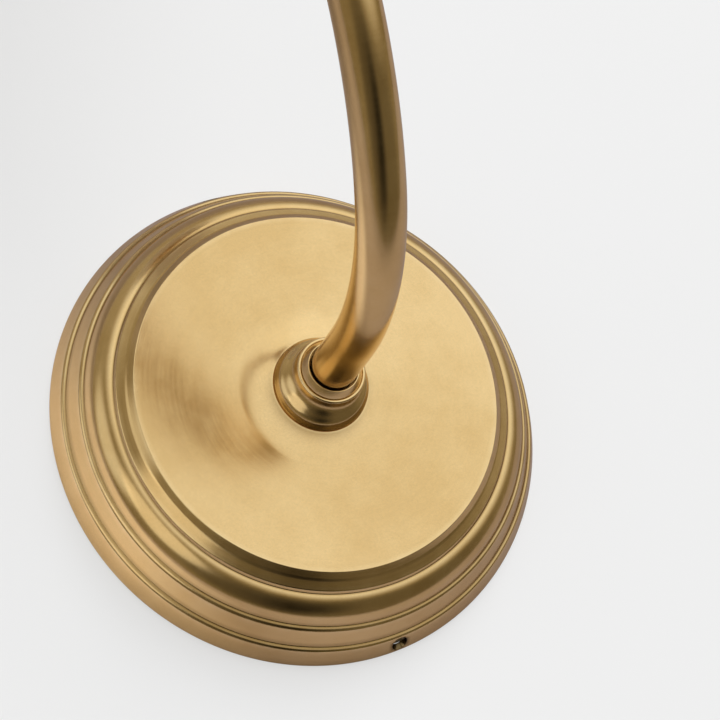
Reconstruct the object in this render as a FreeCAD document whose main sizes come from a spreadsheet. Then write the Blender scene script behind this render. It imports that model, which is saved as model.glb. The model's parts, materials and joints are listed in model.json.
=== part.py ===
import FreeCAD, Part
import math
import os
import Sketcher

# Wall sconce: a stepped round canopy on a crossbar, a turned hub with a swivelling J arm,
# and a turn-knob lampholder with an open glass shade held by three thumb screws.
# Millimetres. The origin is the centre of the canopy's back on the wall.
# +X is right, -Y comes out of the wall, +Z is up.

SIZES = {
    # clearances
    "running_gap": 0.05,
    "seat_gap": 0.1,
    "free_gap": 0.3,
    # canopy, in steps from the wall outwards; every step leans inwards and its ledge rises
    "canopy_radius": 70.0,
    "canopy_wall": 1.6,
    "rim_lean": 2.5,
    "rim_height": 5.6,
    "rim_round": 1.2,
    "step_ledge": 1.15,
    "step_ledge_rise": 0.4,
    "crease_round": 0.8,
    "outer_step_lean": 2.75,
    "outer_step_rise": 5.4,
    "outer_step_round": 1.4,
    "inner_step_lean": 2.4,
    "inner_step_rise": 5.4,
    "inner_step_round": 7.5,
    "inner_step_ledge": 4.3,
    "inner_ledge_rise": 0.9,
    "cone_foot_lean": 0.55,
    "cone_foot": 0.9,
    "cone_round": 0.7,
    "cone_run": 2.5,
    "cone_rise": 1.3,
    "cove_round": 3.0,
    "disc_rim_lean": 1.65,
    "disc_rim": 1.8,
    "disc_dome": 0.65,
    "dome_round": 300.0,
    "dome_flat_radius": 22.0,
    "edge_round": 0.35,
    # screws that hold the canopy to the crossbar
    "canopy_screw_radius": 2.0,
    "canopy_screw_length": 10.0,
    "canopy_screw_height": 2.9,
    "canopy_screw_sink": 2.3,
    "canopy_screw_hole": 2.2,
    "hex_socket": 2.0,
    "hex_socket_depth": 2.2,
    "screw_chamfer": 0.4,
    # crossbar
    "bar_width": 22.0,
    "bar_thickness": 1.6,
    "bar_end_gap": 6.8,
    "bar_ear_height": 8.2,
    "bar_bend": 1.0,
    "bar_slot_width": 4.6,
    "bar_slot_length": 16.0,
    "bar_slot_spacing": 79.5,
    "bar_centre_hole": 5.2,
    "earth_screw_radius": 1.8,
    "earth_screw_head": 4.2,
    "earth_screw_flange": 0.5,
    "earth_screw_flats": 6.0,
    "earth_screw_head_height": 2.4,
    "earth_screw_drop": 19.0,
    # hub
    "hub_bore": 5.0,
    "hub_tail_radius": 7.5,
    "hub_tail_length": 5.5,
    "hub_base_radius": 13.5,
    "hub_bulge_radius": 15.0,
    "hub_bulge_height": 2.9,
    "hub_bulge_round": 2.4,
    "hub_neck_radius": 8.4,
    "hub_neck_height": 7.6,
    "hub_neck_round": 4.4,
    "hub_lip_radius": 9.4,
    "hub_lip_height": 1.5,
    "hub_lip_round": 0.5,
    "hub_height": 12.1,
    "hub_recess_radius": 8.5,
    "hub_recess_depth": 1.5,
    "hub_sleeve_bore": 7.4,
    "hub_floor": 4.9,
    "collar_rise": 2.05,
    "collar_gap": 0.45,
    "hub_nut_flats": 21.0,
    "hub_nut_height": 3.0,
    "earth_tag_radius": 11.5,
    "earth_tag_thickness": 0.6,
    "earth_tag_tail": 17.5,
    "earth_tag_width": 5.0,
    # arm
    "tube_radius": 6.35,
    "tube_wall": 1.2,
    "arm_straight_end": 54.4,
    "arm_first_radius": 77.0,
    "arm_first_turn": 41.7,
    "arm_second_radius": 134.0,
    "arm_top_run": 16.0,
    "thrust_washer": 0.8,
    "nipple_radius": 4.95,
    "nipple_bore": 3.2,
    "nipple_tail": 6.6,
    "plug_length": 10.0,
    "spring_washer_radius": 8.2,
    "spring_washer_rise": 0.6,
    "spring_washer_thickness": 0.5,
    "stop_washer_radius": 8.6,
    "stop_washer_thickness": 1.0,
    "stop_lug_reach": 16.0,
    "stop_lug_width": 4.0,
    "stop_pin_radius": 1.5,
    "stop_pin_place": 14.0,
    "arm_nut_flats": 14.0,
    "arm_nut_height": 4.0,
    "bushing_flange_radius": 5.4,
    "bushing_flange": 1.0,
    "bushing_length": 4.0,
    "bushing_bore": 2.45,
    # leads
    "lead_radius": 0.95,
    "lead_offset": 1.15,
    "lead_fan_gap": 6.5,
    "connector_radius": 6.2,
    "connector_mouth": 5.0,
    "connector_mouth_depth": 6.0,
    "connector_wall": 1.4,
    "connector_tip": 3.2,
    "connector_length": 17.0,
    "connector_reach": 33.0,
    "connector_drop": 16.0,
    "connector_height": 10.5,
    # lampholder, upwards from the end of the tube
    "ferrule_radius": 8.8,
    "ferrule_height": 5.0,
    "ferrule_round": 2.0,
    "cap_neck_radius": 7.6,
    "cap_neck_height": 8.0,
    "cap_radius": 18.3,
    "cap_height": 24.0,
    "cap_round": 6.5,
    "cap_wall": 0.8,
    "cap_screw_radius": 1.5,
    "cap_screw_length": 3.0,
    "cap_screw_socket": 1.5,
    "shell_wall": 0.5,
    "shell_lap": 5.0,
    "shell_height": 32.0,
    "shell_thread_radius": 16.5,
    "shell_thread_height": 14.0,
    "shell_notch": 7.0,
    "shell_notch_round": 3.2,
    "liner_thickness": 0.6,
    "holder_body_radius": 14.9,
    "holder_body_height": 19.0,
    "holder_body_start": 4.0,
    "holder_body_rim": 2.0,
    "screw_shell_bore": 13.1,
    "screw_shell_wall": 0.5,
    "screw_shell_height": 24.0,
    "screw_shell_floor_hole": 10.0,
    "screw_shell_round": 3.1,
    "contact_width": 5.0,
    "contact_thickness": 0.5,
    "contact_rise": 2.1,
    "contact_foot": 8.0,
    "contact_bend": 2.0,
    "contact_toe": 3.5,
    "terminal_flat": 12.4,
    "terminal_height": 9.0,
    "terminal_width": 8.0,
    "terminal_head": 3.0,
    "terminal_head_height": 1.6,
    "terminal_shank": 1.4,
    "terminal_depth": 4.5,
    "stem_height": 10.0,
    "stem_radius": 2.1,
    "stem_end": 25.0,
    "knob_start": 19.0,
    "knob_neck_length": 4.0,
    "knob_length": 12.0,
    "knob_radius": 5.6,
    "knob_neck": 3.4,
    "knob_flute": 0.9,
    # shade holder and glass, upwards from the shoulder of the shell
    "gallery_wall": 0.9,
    "gallery_radius": 29.8,
    "gallery_height": 18.0,
    "gallery_flare": 23.5,
    "gallery_round": 4.0,
    "gallery_bead": 0.9,
    "ring_radius": 20.5,
    "ring_height": 5.5,
    "ring_flute": 0.7,
    "thumb_height": 13.5,
    "thumb_radius": 1.95,
    "thumb_boss_radius": 3.4,
    "thumb_boss": 1.2,
    "thumb_head_radius": 4.6,
    "thumb_head_length": 4.5,
    "thumb_head_start": 34.0,
    "thumb_flute": 0.6,
    "glass_wall": 3.0,
    "glass_seat": 5.6,
    "glass_lip_radius": 28.0,
    "glass_lip_height": 5.5,
    "glass_neck_radius": 26.8,
    "glass_neck_top": 21.0,
    "glass_shoulder_radius": 60.0,
    "glass_shoulder_height": 46.0,
    "glass_shoulder_round": 30.0,
    "glass_body_radius": 60.5,
    "glass_body_height": 96.0,
    "glass_body_round": 60.0,
    "glass_mouth_radius": 67.0,
    "glass_height": 121.0,
}

doc = FreeCAD.newDocument("wall_sconce")
sheet = doc.addObject("Spreadsheet::Sheet", "sizes")
for row, (name, number) in enumerate(SIZES.items(), 1):
    sheet.set(f"A{row}", name)
    sheet.set(f"B{row}", str(number))
    sheet.setAlias(f"B{row}", name)
doc.recompute()


# Sums of sizes, as numbers and as bound expressions

def one_size(word):
    # a size by its name, a share of it such as bar_width/2, or a plain number
    name, slash, share = word.partition("/")
    size = float(sheet.get(name)) if name in SIZES else float(name)
    return size / float(share) if slash else size


def amount(words):
    # the number that a sum such as "canopy_radius - canopy_wall" gives
    total = 0.0
    sign = 1.0
    for word in words.split():
        if word in ("+", "-"):
            sign = 1.0 if word == "+" else -1.0
        else:
            total += sign * one_size(word)
    return total


def bound(words):
    # the same sum as an expression on the sheet
    named = ["sizes." + word if word.partition("/")[0] in SIZES else word for word in words.split()]
    return " ".join(named)


def opposite(words):
    # the same sum with every sign turned
    turned = {"+": "-", "-": "+"}
    return "0 - " + " ".join(turned.get(word, word) for word in words.split())


# Sketches

def plane_of(body, role):
    return next(plane for plane in body.Origin.OriginFeatures if plane.Role == role)


def new_sketch(body, role, name, lift=None):
    # a sketch on one of the body's own planes, lifted along the plane's normal by a sum of sizes
    sketch = body.newObject("Sketcher::SketchObject", name)
    sketch.AttachmentSupport = [(plane_of(body, role), "")]
    sketch.MapMode = "FlatFace"
    if lift:
        sketch.AttachmentOffset = FreeCAD.Placement(FreeCAD.Vector(0, 0, amount(lift)), FreeCAD.Rotation())
        sketch.setExpression("AttachmentOffset.Base.z", bound(lift))
    return sketch


def pin(sketch, curve, end, across, up):
    # binds a point of a curve to sums of sizes measured from the sketch's origin
    for kind, axis, words in (("DistanceX", -2, across), ("DistanceY", -1, up)):
        number = amount(words)
        if words == "0":
            sketch.addConstraint(Sketcher.Constraint("PointOnObject", curve, end, axis))
        elif number < 0:
            index = sketch.addConstraint(Sketcher.Constraint(kind, curve, end, -1, 1, -number))
            sketch.setExpression(f"Constraints[{index}]", f"-({bound(words)})")
        else:
            index = sketch.addConstraint(Sketcher.Constraint(kind, -1, 1, curve, end, number))
            sketch.setExpression(f"Constraints[{index}]", bound(words))


def size_of_curve(sketch, kind, curve, words):
    index = sketch.addConstraint(Sketcher.Constraint(kind, curve, amount(words)))
    sketch.setExpression(f"Constraints[{index}]", bound(words))


def add_circle(sketch, across, up, radius):
    centre = FreeCAD.Vector(amount(across), amount(up), 0)
    circle = sketch.addGeometry(Part.Circle(centre, FreeCAD.Vector(0, 0, 1), amount(radius)))
    pin(sketch, circle, 3, across, up)
    size_of_curve(sketch, "Radius", circle, radius)


def rounded(before, corner, after, radius):
    # the two tangent points and the middle of the arc that rounds a corner
    back = (before - corner).normalize()
    ahead = (after - corner).normalize()
    half = back.getAngle(ahead) / 2
    inward = (back + ahead).normalize()
    reach = radius / math.tan(half)
    middle = corner + inward * (radius / math.sin(half) - radius)
    return corner + back * reach, middle, corner + ahead * reach


def add_outline(sketch, corners):
    # a closed outline of straight sides through corners (across, up, round); the third is optional
    points = [FreeCAD.Vector(amount(corner[0]), amount(corner[1]), 0) for corner in corners]
    count = len(corners)
    arcs = {}
    for i, corner in enumerate(corners):
        if len(corner) == 3:
            arcs[i] = rounded(points[i - 1], points[i], points[(i + 1) % count], amount(corner[2]))
    for i in range(count):
        start = arcs[i][2] if i in arcs else points[i]
        nearest = (i + 1) % count
        end = arcs[nearest][0] if nearest in arcs else points[nearest]
        sketch.addGeometry(Part.LineSegment(start, end))
    for i, corner in enumerate(corners):
        before = (i - 1) % count
        if i in arcs:
            arc = sketch.addGeometry(Part.Arc(*arcs[i]))
            starts_first = (sketch.getPoint(arc, 1) - arcs[i][0]).Length < 1e-6
            first, last = (1, 2) if starts_first else (2, 1)
            sketch.addConstraint(Sketcher.Constraint("Tangent", before, 2, arc, first))
            sketch.addConstraint(Sketcher.Constraint("Tangent", arc, last, i, 1))
            size_of_curve(sketch, "Radius", arc, corner[2])
            point = sketch.addGeometry(Part.Point(points[i]), True)
            sketch.addConstraint(Sketcher.Constraint("PointOnObject", point, 1, before))
            sketch.addConstraint(Sketcher.Constraint("PointOnObject", point, 1, i))
            pin(sketch, point, 1, corner[0], corner[1])
        else:
            sketch.addConstraint(Sketcher.Constraint("Coincident", before, 2, i, 1))
            pin(sketch, i, 1, corner[0], corner[1])


def add_hexagon(sketch, flats):
    # six equal sides tangent to a circle as wide as the flats are apart
    radius = amount(flats) / 2
    inner = sketch.addGeometry(Part.Circle(FreeCAD.Vector(), FreeCAD.Vector(0, 0, 1), radius), True)
    pin(sketch, inner, 3, "0", "0")
    size_of_curve(sketch, "Radius", inner, flats + "/2")
    reach = radius / math.cos(math.pi / 6)
    turns = [math.radians(60 * i) for i in range(7)]
    points = [FreeCAD.Vector(reach * math.cos(turn), reach * math.sin(turn), 0) for turn in turns]
    sides = [sketch.addGeometry(Part.LineSegment(points[i], points[i + 1])) for i in range(6)]
    for i in range(6):
        sketch.addConstraint(Sketcher.Constraint("Coincident", sides[i], 2, sides[(i + 1) % 6], 1))
        sketch.addConstraint(Sketcher.Constraint("Tangent", sides[i], inner))
    for i in range(1, 6):
        sketch.addConstraint(Sketcher.Constraint("Equal", sides[0], sides[i]))
    sketch.addConstraint(Sketcher.Constraint("Horizontal", sides[1]))
    return sides


# Bodies and features

def new_body(name, height=None, front=True):
    # front pieces stand on the wall with their own Z pointing out of it, the others stay upright
    # on the lampholder's axis; height is their seat along that Z
    body = doc.addObject("PartDesign::Body", name)
    body.Label = name
    if front:
        body.Placement = FreeCAD.Placement(FreeCAD.Vector(), FreeCAD.Rotation(FreeCAD.Vector(1, 0, 0), 90))
        body.setExpression("Placement.Base.y", f"-({bound(height or '0')})")
    else:
        body.setExpression("Placement.Base.y", f"-({ARM_REACH})")
        body.setExpression("Placement.Base.z", f"{ARM_RISE} + {bound(height or '0')}")
    return body


def revolve(body, corners, plane="XZ_Plane", axis="V_Axis", name="outline"):
    sketch = new_sketch(body, plane, f"{body.Name}_{name}")
    add_outline(sketch, corners)
    turned = body.newObject("PartDesign::Revolution", f"{body.Name}_{name}_turned")
    turned.Profile = sketch
    turned.ReferenceAxis = (sketch, [axis])
    turned.Angle = 360
    doc.recompute()
    return turned


def turned_piece(name, corners, height=None, front=True):
    body = new_body(name, height, front)
    revolve(body, corners)
    return body


def pad(body, sketch, length, symmetric=False, reverse=False):
    grown = body.newObject("PartDesign::Pad", sketch.Name + "_pad")
    grown.Profile = sketch
    grown.setExpression("Length", bound(length))
    grown.Midplane = symmetric
    grown.Reversed = reverse
    doc.recompute()
    return grown


def pocket(body, sketch, length=None, symmetric=False, reverse=False):
    # cuts the sketch through the body, and stops the build when nothing was cut
    whole = body.Shape.Volume
    cut = body.newObject("PartDesign::Pocket", sketch.Name + "_pocket")
    cut.Profile = sketch
    cut.Midplane = symmetric
    cut.Reversed = reverse
    if length:
        cut.setExpression("Length", bound(length))
    else:
        cut.Type = "ThroughAll"
    doc.recompute()
    if body.Shape.Volume > whole - 1e-3:
        raise RuntimeError(f"{sketch.Name} cuts nothing")
    return cut


def polar(body, feature, count):
    # repeats a feature round the body's own Z
    pattern = body.newObject("PartDesign::PolarPattern", feature.Name + "_round")
    pattern.Originals = [feature]
    pattern.Axis = (next(axis for axis in body.Origin.OriginFeatures if axis.Role == "Z_Axis"), [""])
    pattern.Angle = 360
    pattern.Occurrences = count
    body.Tip = pattern
    doc.recompute()
    return pattern


def flutes(body, place, radius, count, length, lift):
    # small round grooves along the edge of a head or ring, so that fingers grip it
    sketch = new_sketch(body, "XY_Plane", body.Name + "_flute", lift)
    add_circle(sketch, place, "0", radius)
    polar(body, pocket(body, sketch, length, reverse=True), count)


# The arm's centre line leaves the wall square, turns upwards in two tangent arcs and ends upright

TURN = "sizes.arm_first_turn * 1 deg"
ARM_REACH = (
    f"sizes.arm_straight_end + sizes.arm_first_radius * sin({TURN})"
    f" + sizes.arm_second_radius * (1 - sin({TURN}))"
)
ARM_RISE = (
    f"sizes.arm_first_radius * (1 - cos({TURN}))"
    f" + sizes.arm_second_radius * cos({TURN}) + sizes.arm_top_run"
)
RIM_EDGE = "canopy_radius - rim_lean"
OUTER_CREASE = RIM_EDGE + " - step_ledge"
OUTER_EDGE = OUTER_CREASE + " - outer_step_lean"
INNER_CREASE = OUTER_EDGE + " - step_ledge"
INNER_EDGE = INNER_CREASE + " - inner_step_lean"
CONE_FOOT = INNER_EDGE + " - inner_step_ledge"
CONE_EDGE = CONE_FOOT + " - cone_foot_lean"
CONE_TOP = CONE_EDGE + " - cone_run"
DISC_EDGE = CONE_TOP + " - disc_rim_lean"
WALL_ACROSS = "canopy_wall/1.46"
WALL_BACK = "canopy_wall/1.14"
OUTER_FOOT = "rim_height + step_ledge_rise"
OUTER_TOP = OUTER_FOOT + " + outer_step_rise"
INNER_FOOT = OUTER_TOP + " + step_ledge_rise"
INNER_TOP = INNER_FOOT + " + inner_step_rise"
LEDGE_TOP = INNER_TOP + " + inner_ledge_rise"
CONE_START = LEDGE_TOP + " + cone_foot"
CONE_END = CONE_START + " + cone_rise"
DISC_HEIGHT = CONE_END + " + disc_rim"
HUB_SEAT = DISC_HEIGHT + " + disc_dome"
BAR_END = "canopy_radius - canopy_wall - bar_end_gap"
TAIL_END = HUB_SEAT + " - hub_tail_length"
STOP_STACK = "spring_washer_rise - spring_washer_thickness - stop_washer_thickness"
BUSHING_END = TAIL_END + " - nipple_tail - bushing_flange"
CAP_FLOOR = "ferrule_height + cap_neck_height"
SHELL_SEAT = "ferrule_height + cap_height - shell_lap"
BODY_SEAT = SHELL_SEAT + " + holder_body_start"
DISH = "holder_body_height - holder_body_rim"
SHOULDER = SHELL_SEAT + " + shell_height"
TUBE_START = HUB_SEAT + " + hub_floor + thrust_washer"


def arm_points():
    # start of the bend, middle and end of each arc, in the plane of the arm (out of the wall, up)
    turn = math.radians(amount("arm_first_turn"))
    first = amount("arm_first_radius")
    second = amount("arm_second_radius")
    out = amount("arm_straight_end")
    bends = [(out, 0.0)]
    for angle in (turn / 2, turn):
        bends.append((out + first * math.sin(angle), first * (1 - math.cos(angle))))
    middle = (turn + math.pi / 2) / 2
    hook_out = bends[-1][0] - second * math.sin(turn)
    hook_up = bends[-1][1] + second * math.cos(turn)
    for angle in (middle, math.pi / 2):
        bends.append((hook_out + second * math.sin(angle), hook_up - second * math.cos(angle)))
    return bends


# Wall side

def mounting_bar():
    body = new_body("mounting_bar")
    side = new_sketch(body, "YZ_Plane", "bar_side")
    outer = "bar_bend + bar_thickness"
    inside = BAR_END + " - bar_thickness"
    add_outline(side, [
        (opposite(BAR_END), "bar_ear_height"),
        (opposite(BAR_END), "0", outer),
        (BAR_END, "0", outer),
        (BAR_END, "bar_ear_height"),
        (inside, "bar_ear_height"),
        (inside, "bar_thickness", "bar_bend"),
        (opposite(inside), "bar_thickness", "bar_bend"),
        (opposite(inside), "bar_ear_height"),
    ])
    pad(body, side, "bar_width", symmetric=True)
    holes = new_sketch(body, "XY_Plane", "bar_holes")
    add_circle(holes, "0", "0", "bar_centre_hole")
    add_circle(holes, "0", "0 - earth_screw_drop", "earth_screw_radius + running_gap")
    for side_sign in ("", "0 - "):
        middle = side_sign + "bar_slot_spacing/2"
        add_slot(holes, middle, "bar_slot_length", "bar_slot_width")
    pocket(body, holes, symmetric=True)
    taps = new_sketch(body, "XZ_Plane", "bar_taps")
    add_circle(taps, "0", "canopy_screw_height", "canopy_screw_radius + running_gap")
    pocket(body, taps, symmetric=True)
    return body


def add_slot(sketch, middle, length, width):
    # an upright slot with round ends, centred on the bar
    half = f"{width}/2"
    ends = [f"{middle} {sign} {length}/2 {back} {half}" for sign, back in (("-", "+"), ("+", "-"))]
    low, high = amount(ends[0]), amount(ends[1])
    reach = amount(half)
    left_side = Part.LineSegment(FreeCAD.Vector(-reach, high, 0), FreeCAD.Vector(-reach, low, 0))
    right_side = Part.LineSegment(FreeCAD.Vector(reach, low, 0), FreeCAD.Vector(reach, high, 0))
    left = sketch.addGeometry(left_side)
    right = sketch.addGeometry(right_side)
    up = FreeCAD.Vector(0, 0, 1)
    bottom = sketch.addGeometry(
        Part.ArcOfCircle(Part.Circle(FreeCAD.Vector(0, low, 0), up, reach), math.pi, 2 * math.pi))
    top = sketch.addGeometry(
        Part.ArcOfCircle(Part.Circle(FreeCAD.Vector(0, high, 0), up, reach), 0, math.pi))
    for first, first_end, second, second_end in (
        (left, 2, bottom, 1), (bottom, 2, right, 1), (right, 2, top, 1), (top, 2, left, 1)):
        sketch.addConstraint(Sketcher.Constraint("Tangent", first, first_end, second, second_end))
    size_of_curve(sketch, "Radius", bottom, half)
    pin(sketch, bottom, 3, "0", ends[0])
    pin(sketch, top, 3, "0", ends[1])


def canopy():
    # one spun shell: its inside is its outside moved in and back by the shares of the wall that leave
    # the leaning steps one wall thick
    steps = [
        (RIM_EDGE, "rim_height", "rim_round"),
        (OUTER_CREASE, OUTER_FOOT, "crease_round"),
        (OUTER_EDGE, OUTER_TOP, "outer_step_round"),
        (INNER_CREASE, INNER_FOOT, "crease_round"),
        (INNER_EDGE, INNER_TOP, "inner_step_round"),
        (CONE_FOOT, LEDGE_TOP, "edge_round"),
        (CONE_EDGE, CONE_START, "cone_round"),
        (CONE_TOP, CONE_END, "cove_round"),
        (DISC_EDGE, DISC_HEIGHT, "edge_round"),
    ]
    hole = "hub_tail_radius + seat_gap"
    back = HUB_SEAT + " - canopy_wall"
    inside = [(across + f" - {WALL_ACROSS}", up + f" - {WALL_BACK}", bend) for across, up, bend in steps]
    inside.reverse()
    corners = [("canopy_radius", "0")] + steps
    corners += [("dome_flat_radius", HUB_SEAT, "dome_round"), (hole, HUB_SEAT)]
    corners += [(hole, back), ("dome_flat_radius", back, "dome_round")]
    corners += inside + [("canopy_radius - canopy_wall", "0")]
    body = turned_piece("canopy", corners)
    holes = new_sketch(body, "XZ_Plane", "canopy_screw_holes")
    add_circle(holes, "0", "canopy_screw_height", "canopy_screw_hole")
    pocket(body, holes, symmetric=True)
    return body


def set_screw(name, radius, length, socket, depth):
    # a headless screw along its own Z with a hexagon socket in the outer end
    body = new_body(name)
    end = f"{length}"
    revolve(body, [("0", "0"), (f"{radius} - screw_chamfer", "0"), (radius, "screw_chamfer"),
                   (radius, end + " - screw_chamfer"), (f"{radius} - screw_chamfer", end), ("0", end)])
    hexagon = new_sketch(body, "XY_Plane", name + "_socket", end)
    add_hexagon(hexagon, socket)
    pocket(body, hexagon, depth)
    return body


def canopy_screws():
    # one below and one above, their outer ends just inside the canopy's rim
    for name, turn in (("canopy_screw_lower", 180), ("canopy_screw_upper", 0)):
        body = set_screw(name, "canopy_screw_radius", "canopy_screw_length", "hex_socket",
                         "hex_socket_depth")
        body.setExpression("Placement.Base.y", "0 - sizes.canopy_screw_height")
        body.Placement.Rotation = FreeCAD.Rotation(FreeCAD.Vector(1, 0, 0), turn)
        start = bound("canopy_radius - canopy_screw_length - canopy_screw_sink")
        body.setExpression("Placement.Base.z", f"-({start})" if turn else start)


def earth_screw():
    # hexagon head on a washer face, driven into the crossbar
    body = new_body("earth_screw")
    flange = "bar_thickness + earth_screw_flange"
    revolve(body, [("0", "0"), ("earth_screw_radius", "0"), ("earth_screw_radius", "bar_thickness"),
                   ("earth_screw_head", "bar_thickness"), ("earth_screw_head", flange), ("0", flange)])
    head = new_sketch(body, "XY_Plane", "earth_screw_hexagon", flange)
    add_hexagon(head, "earth_screw_flats")
    pad(body, head, "earth_screw_head_height")
    body.setExpression("Placement.Base.z", "-(sizes.earth_screw_drop)")


def hexagon_nut(name, flats, height, bore, seat):
    # its face on the seat, the nut behind it towards the wall
    body = new_body(name, seat)
    hexagon = new_sketch(body, "XY_Plane", name + "_flats")
    add_hexagon(hexagon, flats)
    pad(body, hexagon, height, reverse=True)
    hole = new_sketch(body, "XY_Plane", name + "_hole")
    add_circle(hole, "0", "0", bore)
    pocket(body, hole)


def hub():
    # a bell-shaped neck with a lipped rim; its tail goes through the canopy and takes the nut
    lip = "hub_height - hub_lip_height"
    recess = "hub_height - hub_recess_depth"
    turned_piece("hub", [
        ("hub_bore", "0 - hub_tail_length"),
        ("hub_tail_radius", "0 - hub_tail_length"),
        ("hub_tail_radius", "0"),
        ("hub_base_radius", "0"),
        ("hub_bulge_radius", "hub_bulge_height", "hub_bulge_round"),
        ("hub_neck_radius", "hub_neck_height", "hub_neck_round"),
        ("hub_neck_radius", lip, "edge_round"),
        ("hub_lip_radius", lip, "hub_lip_round"),
        ("hub_lip_radius", "hub_height", "hub_lip_round"),
        ("hub_recess_radius", "hub_height", "edge_round"),
        ("hub_recess_radius", recess),
        ("hub_sleeve_bore", recess),
        ("hub_sleeve_bore", "hub_floor"),
        ("hub_bore", "hub_floor"),
    ], HUB_SEAT)


def hub_collar():
    # the ring in the hub's mouth rises as a cone above the lip and leaves a dark gap round the tube
    recess = "hub_height - hub_recess_depth"
    inner = "tube_radius + collar_gap"
    turned_piece("hub_collar", [
        (inner, "hub_floor + free_gap"),
        ("hub_sleeve_bore - seat_gap", "hub_floor + free_gap"),
        ("hub_sleeve_bore - seat_gap", recess),
        ("hub_recess_radius - seat_gap", recess),
        ("hub_recess_radius - seat_gap", "hub_height", "edge_round"),
        (inner + " + free_gap", "hub_height + collar_rise"),
        (inner, "hub_height + collar_rise"),
    ], HUB_SEAT)


def earth_tag():
    # a flat ring clamped under the hub's nut, with a tail for the earth lead
    body = new_body("earth_tag", HUB_SEAT + " - canopy_wall - earth_tag_thickness")
    body.Placement.Rotation = FreeCAD.Rotation(FreeCAD.Vector(1, 0, 0), 90).multiply(
        FreeCAD.Rotation(FreeCAD.Vector(0, 0, 1), -45))
    ring = new_sketch(body, "XY_Plane", "earth_tag_ring")
    add_circle(ring, "0", "0", "earth_tag_radius")
    pad(body, ring, "earth_tag_thickness")
    tail = new_sketch(body, "XY_Plane", "earth_tag_tail")
    half = "earth_tag_width/2"
    add_outline(tail, [("0", "0 - " + half), ("earth_tag_tail", "0 - " + half, "edge_round"),
                       ("earth_tag_tail", half, "edge_round"), ("0", half)])
    pad(body, tail, "earth_tag_thickness")
    hole = new_sketch(body, "XY_Plane", "earth_tag_hole")
    add_circle(hole, "0", "0", "hub_tail_radius + seat_gap")
    pocket(body, hole, reverse=True)


def stop_pin():
    # a stud on the back of the canopy's disc, which the stop washer's lug meets at each end of the swing
    foot = "0 - hub_tail_length - " + STOP_STACK + " - free_gap"
    body = turned_piece("stop_pin", [
        ("0", "0 - canopy_wall"),
        ("stop_pin_radius", "0 - canopy_wall"),
        ("stop_pin_radius", foot),
        ("0", foot),
    ], HUB_SEAT)
    body.setExpression("Placement.Base.z", "-(sizes.stop_pin_place)")


# Leads: round wires along straight runs joined by tangent arcs

def lead(name, points, radii):
    # one tube through points, with an arc of its own radius at each inner point
    edges = []
    last = points[0]
    for i, radius in enumerate(radii, 1):
        start, middle, end = rounded(points[i - 1], points[i], points[i + 1], radius)
        if start.distanceToPoint(last) > 1e-4:
            edges.append(Part.makeLine(last, start))
        edges.append(Part.Arc(start, middle, end).toShape())
        last = end
    edges.append(Part.makeLine(last, points[-1]))
    path = Part.Wire(edges)
    heading = (points[1] - points[0]).normalize()
    section = Part.Wire(Part.makeCircle(amount("lead_radius"), points[0], heading))
    tube = path.makePipeShell([section], True, False)
    filled = math.pi * amount("lead_radius") ** 2 * path.Length
    print(f"{name}: length {path.Length:.1f}, radii {[round(radius, 1) for radius in radii]},"
          f" volume over section times length {tube.Volume / filled:.5f}")
    piece = doc.addObject("Part::Feature", name)
    piece.Label = name
    piece.Shape = tube
    return piece


def widest(points, end_share=0.9, inner_share=0.45):
    # the largest arc that each corner's two runs leave room for
    radii = []
    for i in range(1, len(points) - 1):
        back = points[i - 1] - points[i]
        ahead = points[i + 1] - points[i]
        turn = math.pi - back.getAngle(ahead)
        before = back.Length * (end_share if i == 1 else inner_share)
        after = ahead.Length * (end_share if i == len(points) - 2 else inner_share)
        radii.append(min(before, after) / math.tan(turn / 2))
    return radii


# the middle of each route, chosen by hand: right of the axis, out of the wall, up
CANOPY_ROUTE = [(16.5, 4.5, 0.0), (28.0, 8.4, -2.4), (33.0, 10.5, -9.6)]
EARTH_ROUTE = [(19.4, 18.6, -17.4), (23.4, 11.0, -23.0), (16.4, 3.2, -20.0)]


def route_points(route, side=1):
    return [FreeCAD.Vector(side * right, -out, up) for right, out, up in route]


def canopy_leads():
    # from the bushing back towards the wall, over the crossbar and into a connector on each side
    reach = amount("connector_reach")
    height = amount("connector_height")
    end = amount("connector_drop + connector_mouth_depth")
    for name, side in (("canopy_lead_live", 1), ("canopy_lead_neutral", -1)):
        offset = side * amount("lead_offset")
        start = FreeCAD.Vector(offset, -amount(BUSHING_END), 0)
        bend = FreeCAD.Vector(offset, -CANOPY_ROUTE[0][1], 0)
        last = FreeCAD.Vector(side * reach, -height, -end)
        points = [start, bend] + route_points(CANOPY_ROUTE, side) + [last]
        lead(name, points, widest(points))


def connectors():
    # a twist-on cap over the end of each lead, with shallow flutes
    for name, side in (("connector_live", ""), ("connector_neutral", "0 - ")):
        body = new_body(name)
        revolve(body, [
            ("0", "connector_length"),
            ("connector_tip", "connector_length", "connector_wall"),
            ("connector_radius", "connector_mouth_depth", "connector_tip"),
            ("connector_radius", "0"),
            ("connector_mouth", "0"),
            ("lead_radius + free_gap", "connector_wall"),
            ("lead_radius + free_gap", "connector_mouth_depth"),
            ("0", "connector_mouth_depth"),
        ])
        flutes(body, "connector_radius + connector_wall/4", "connector_wall/2", 8,
               "connector_mouth_depth", "0")
        body.Placement.Rotation = FreeCAD.Rotation(FreeCAD.Vector(1, 0, 0), 180)
        body.setExpression("Placement.Base.x", bound(side + "connector_reach"))
        body.setExpression("Placement.Base.y", bound("0 - connector_height"))
        body.setExpression("Placement.Base.z", bound("0 - connector_drop"))


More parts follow.
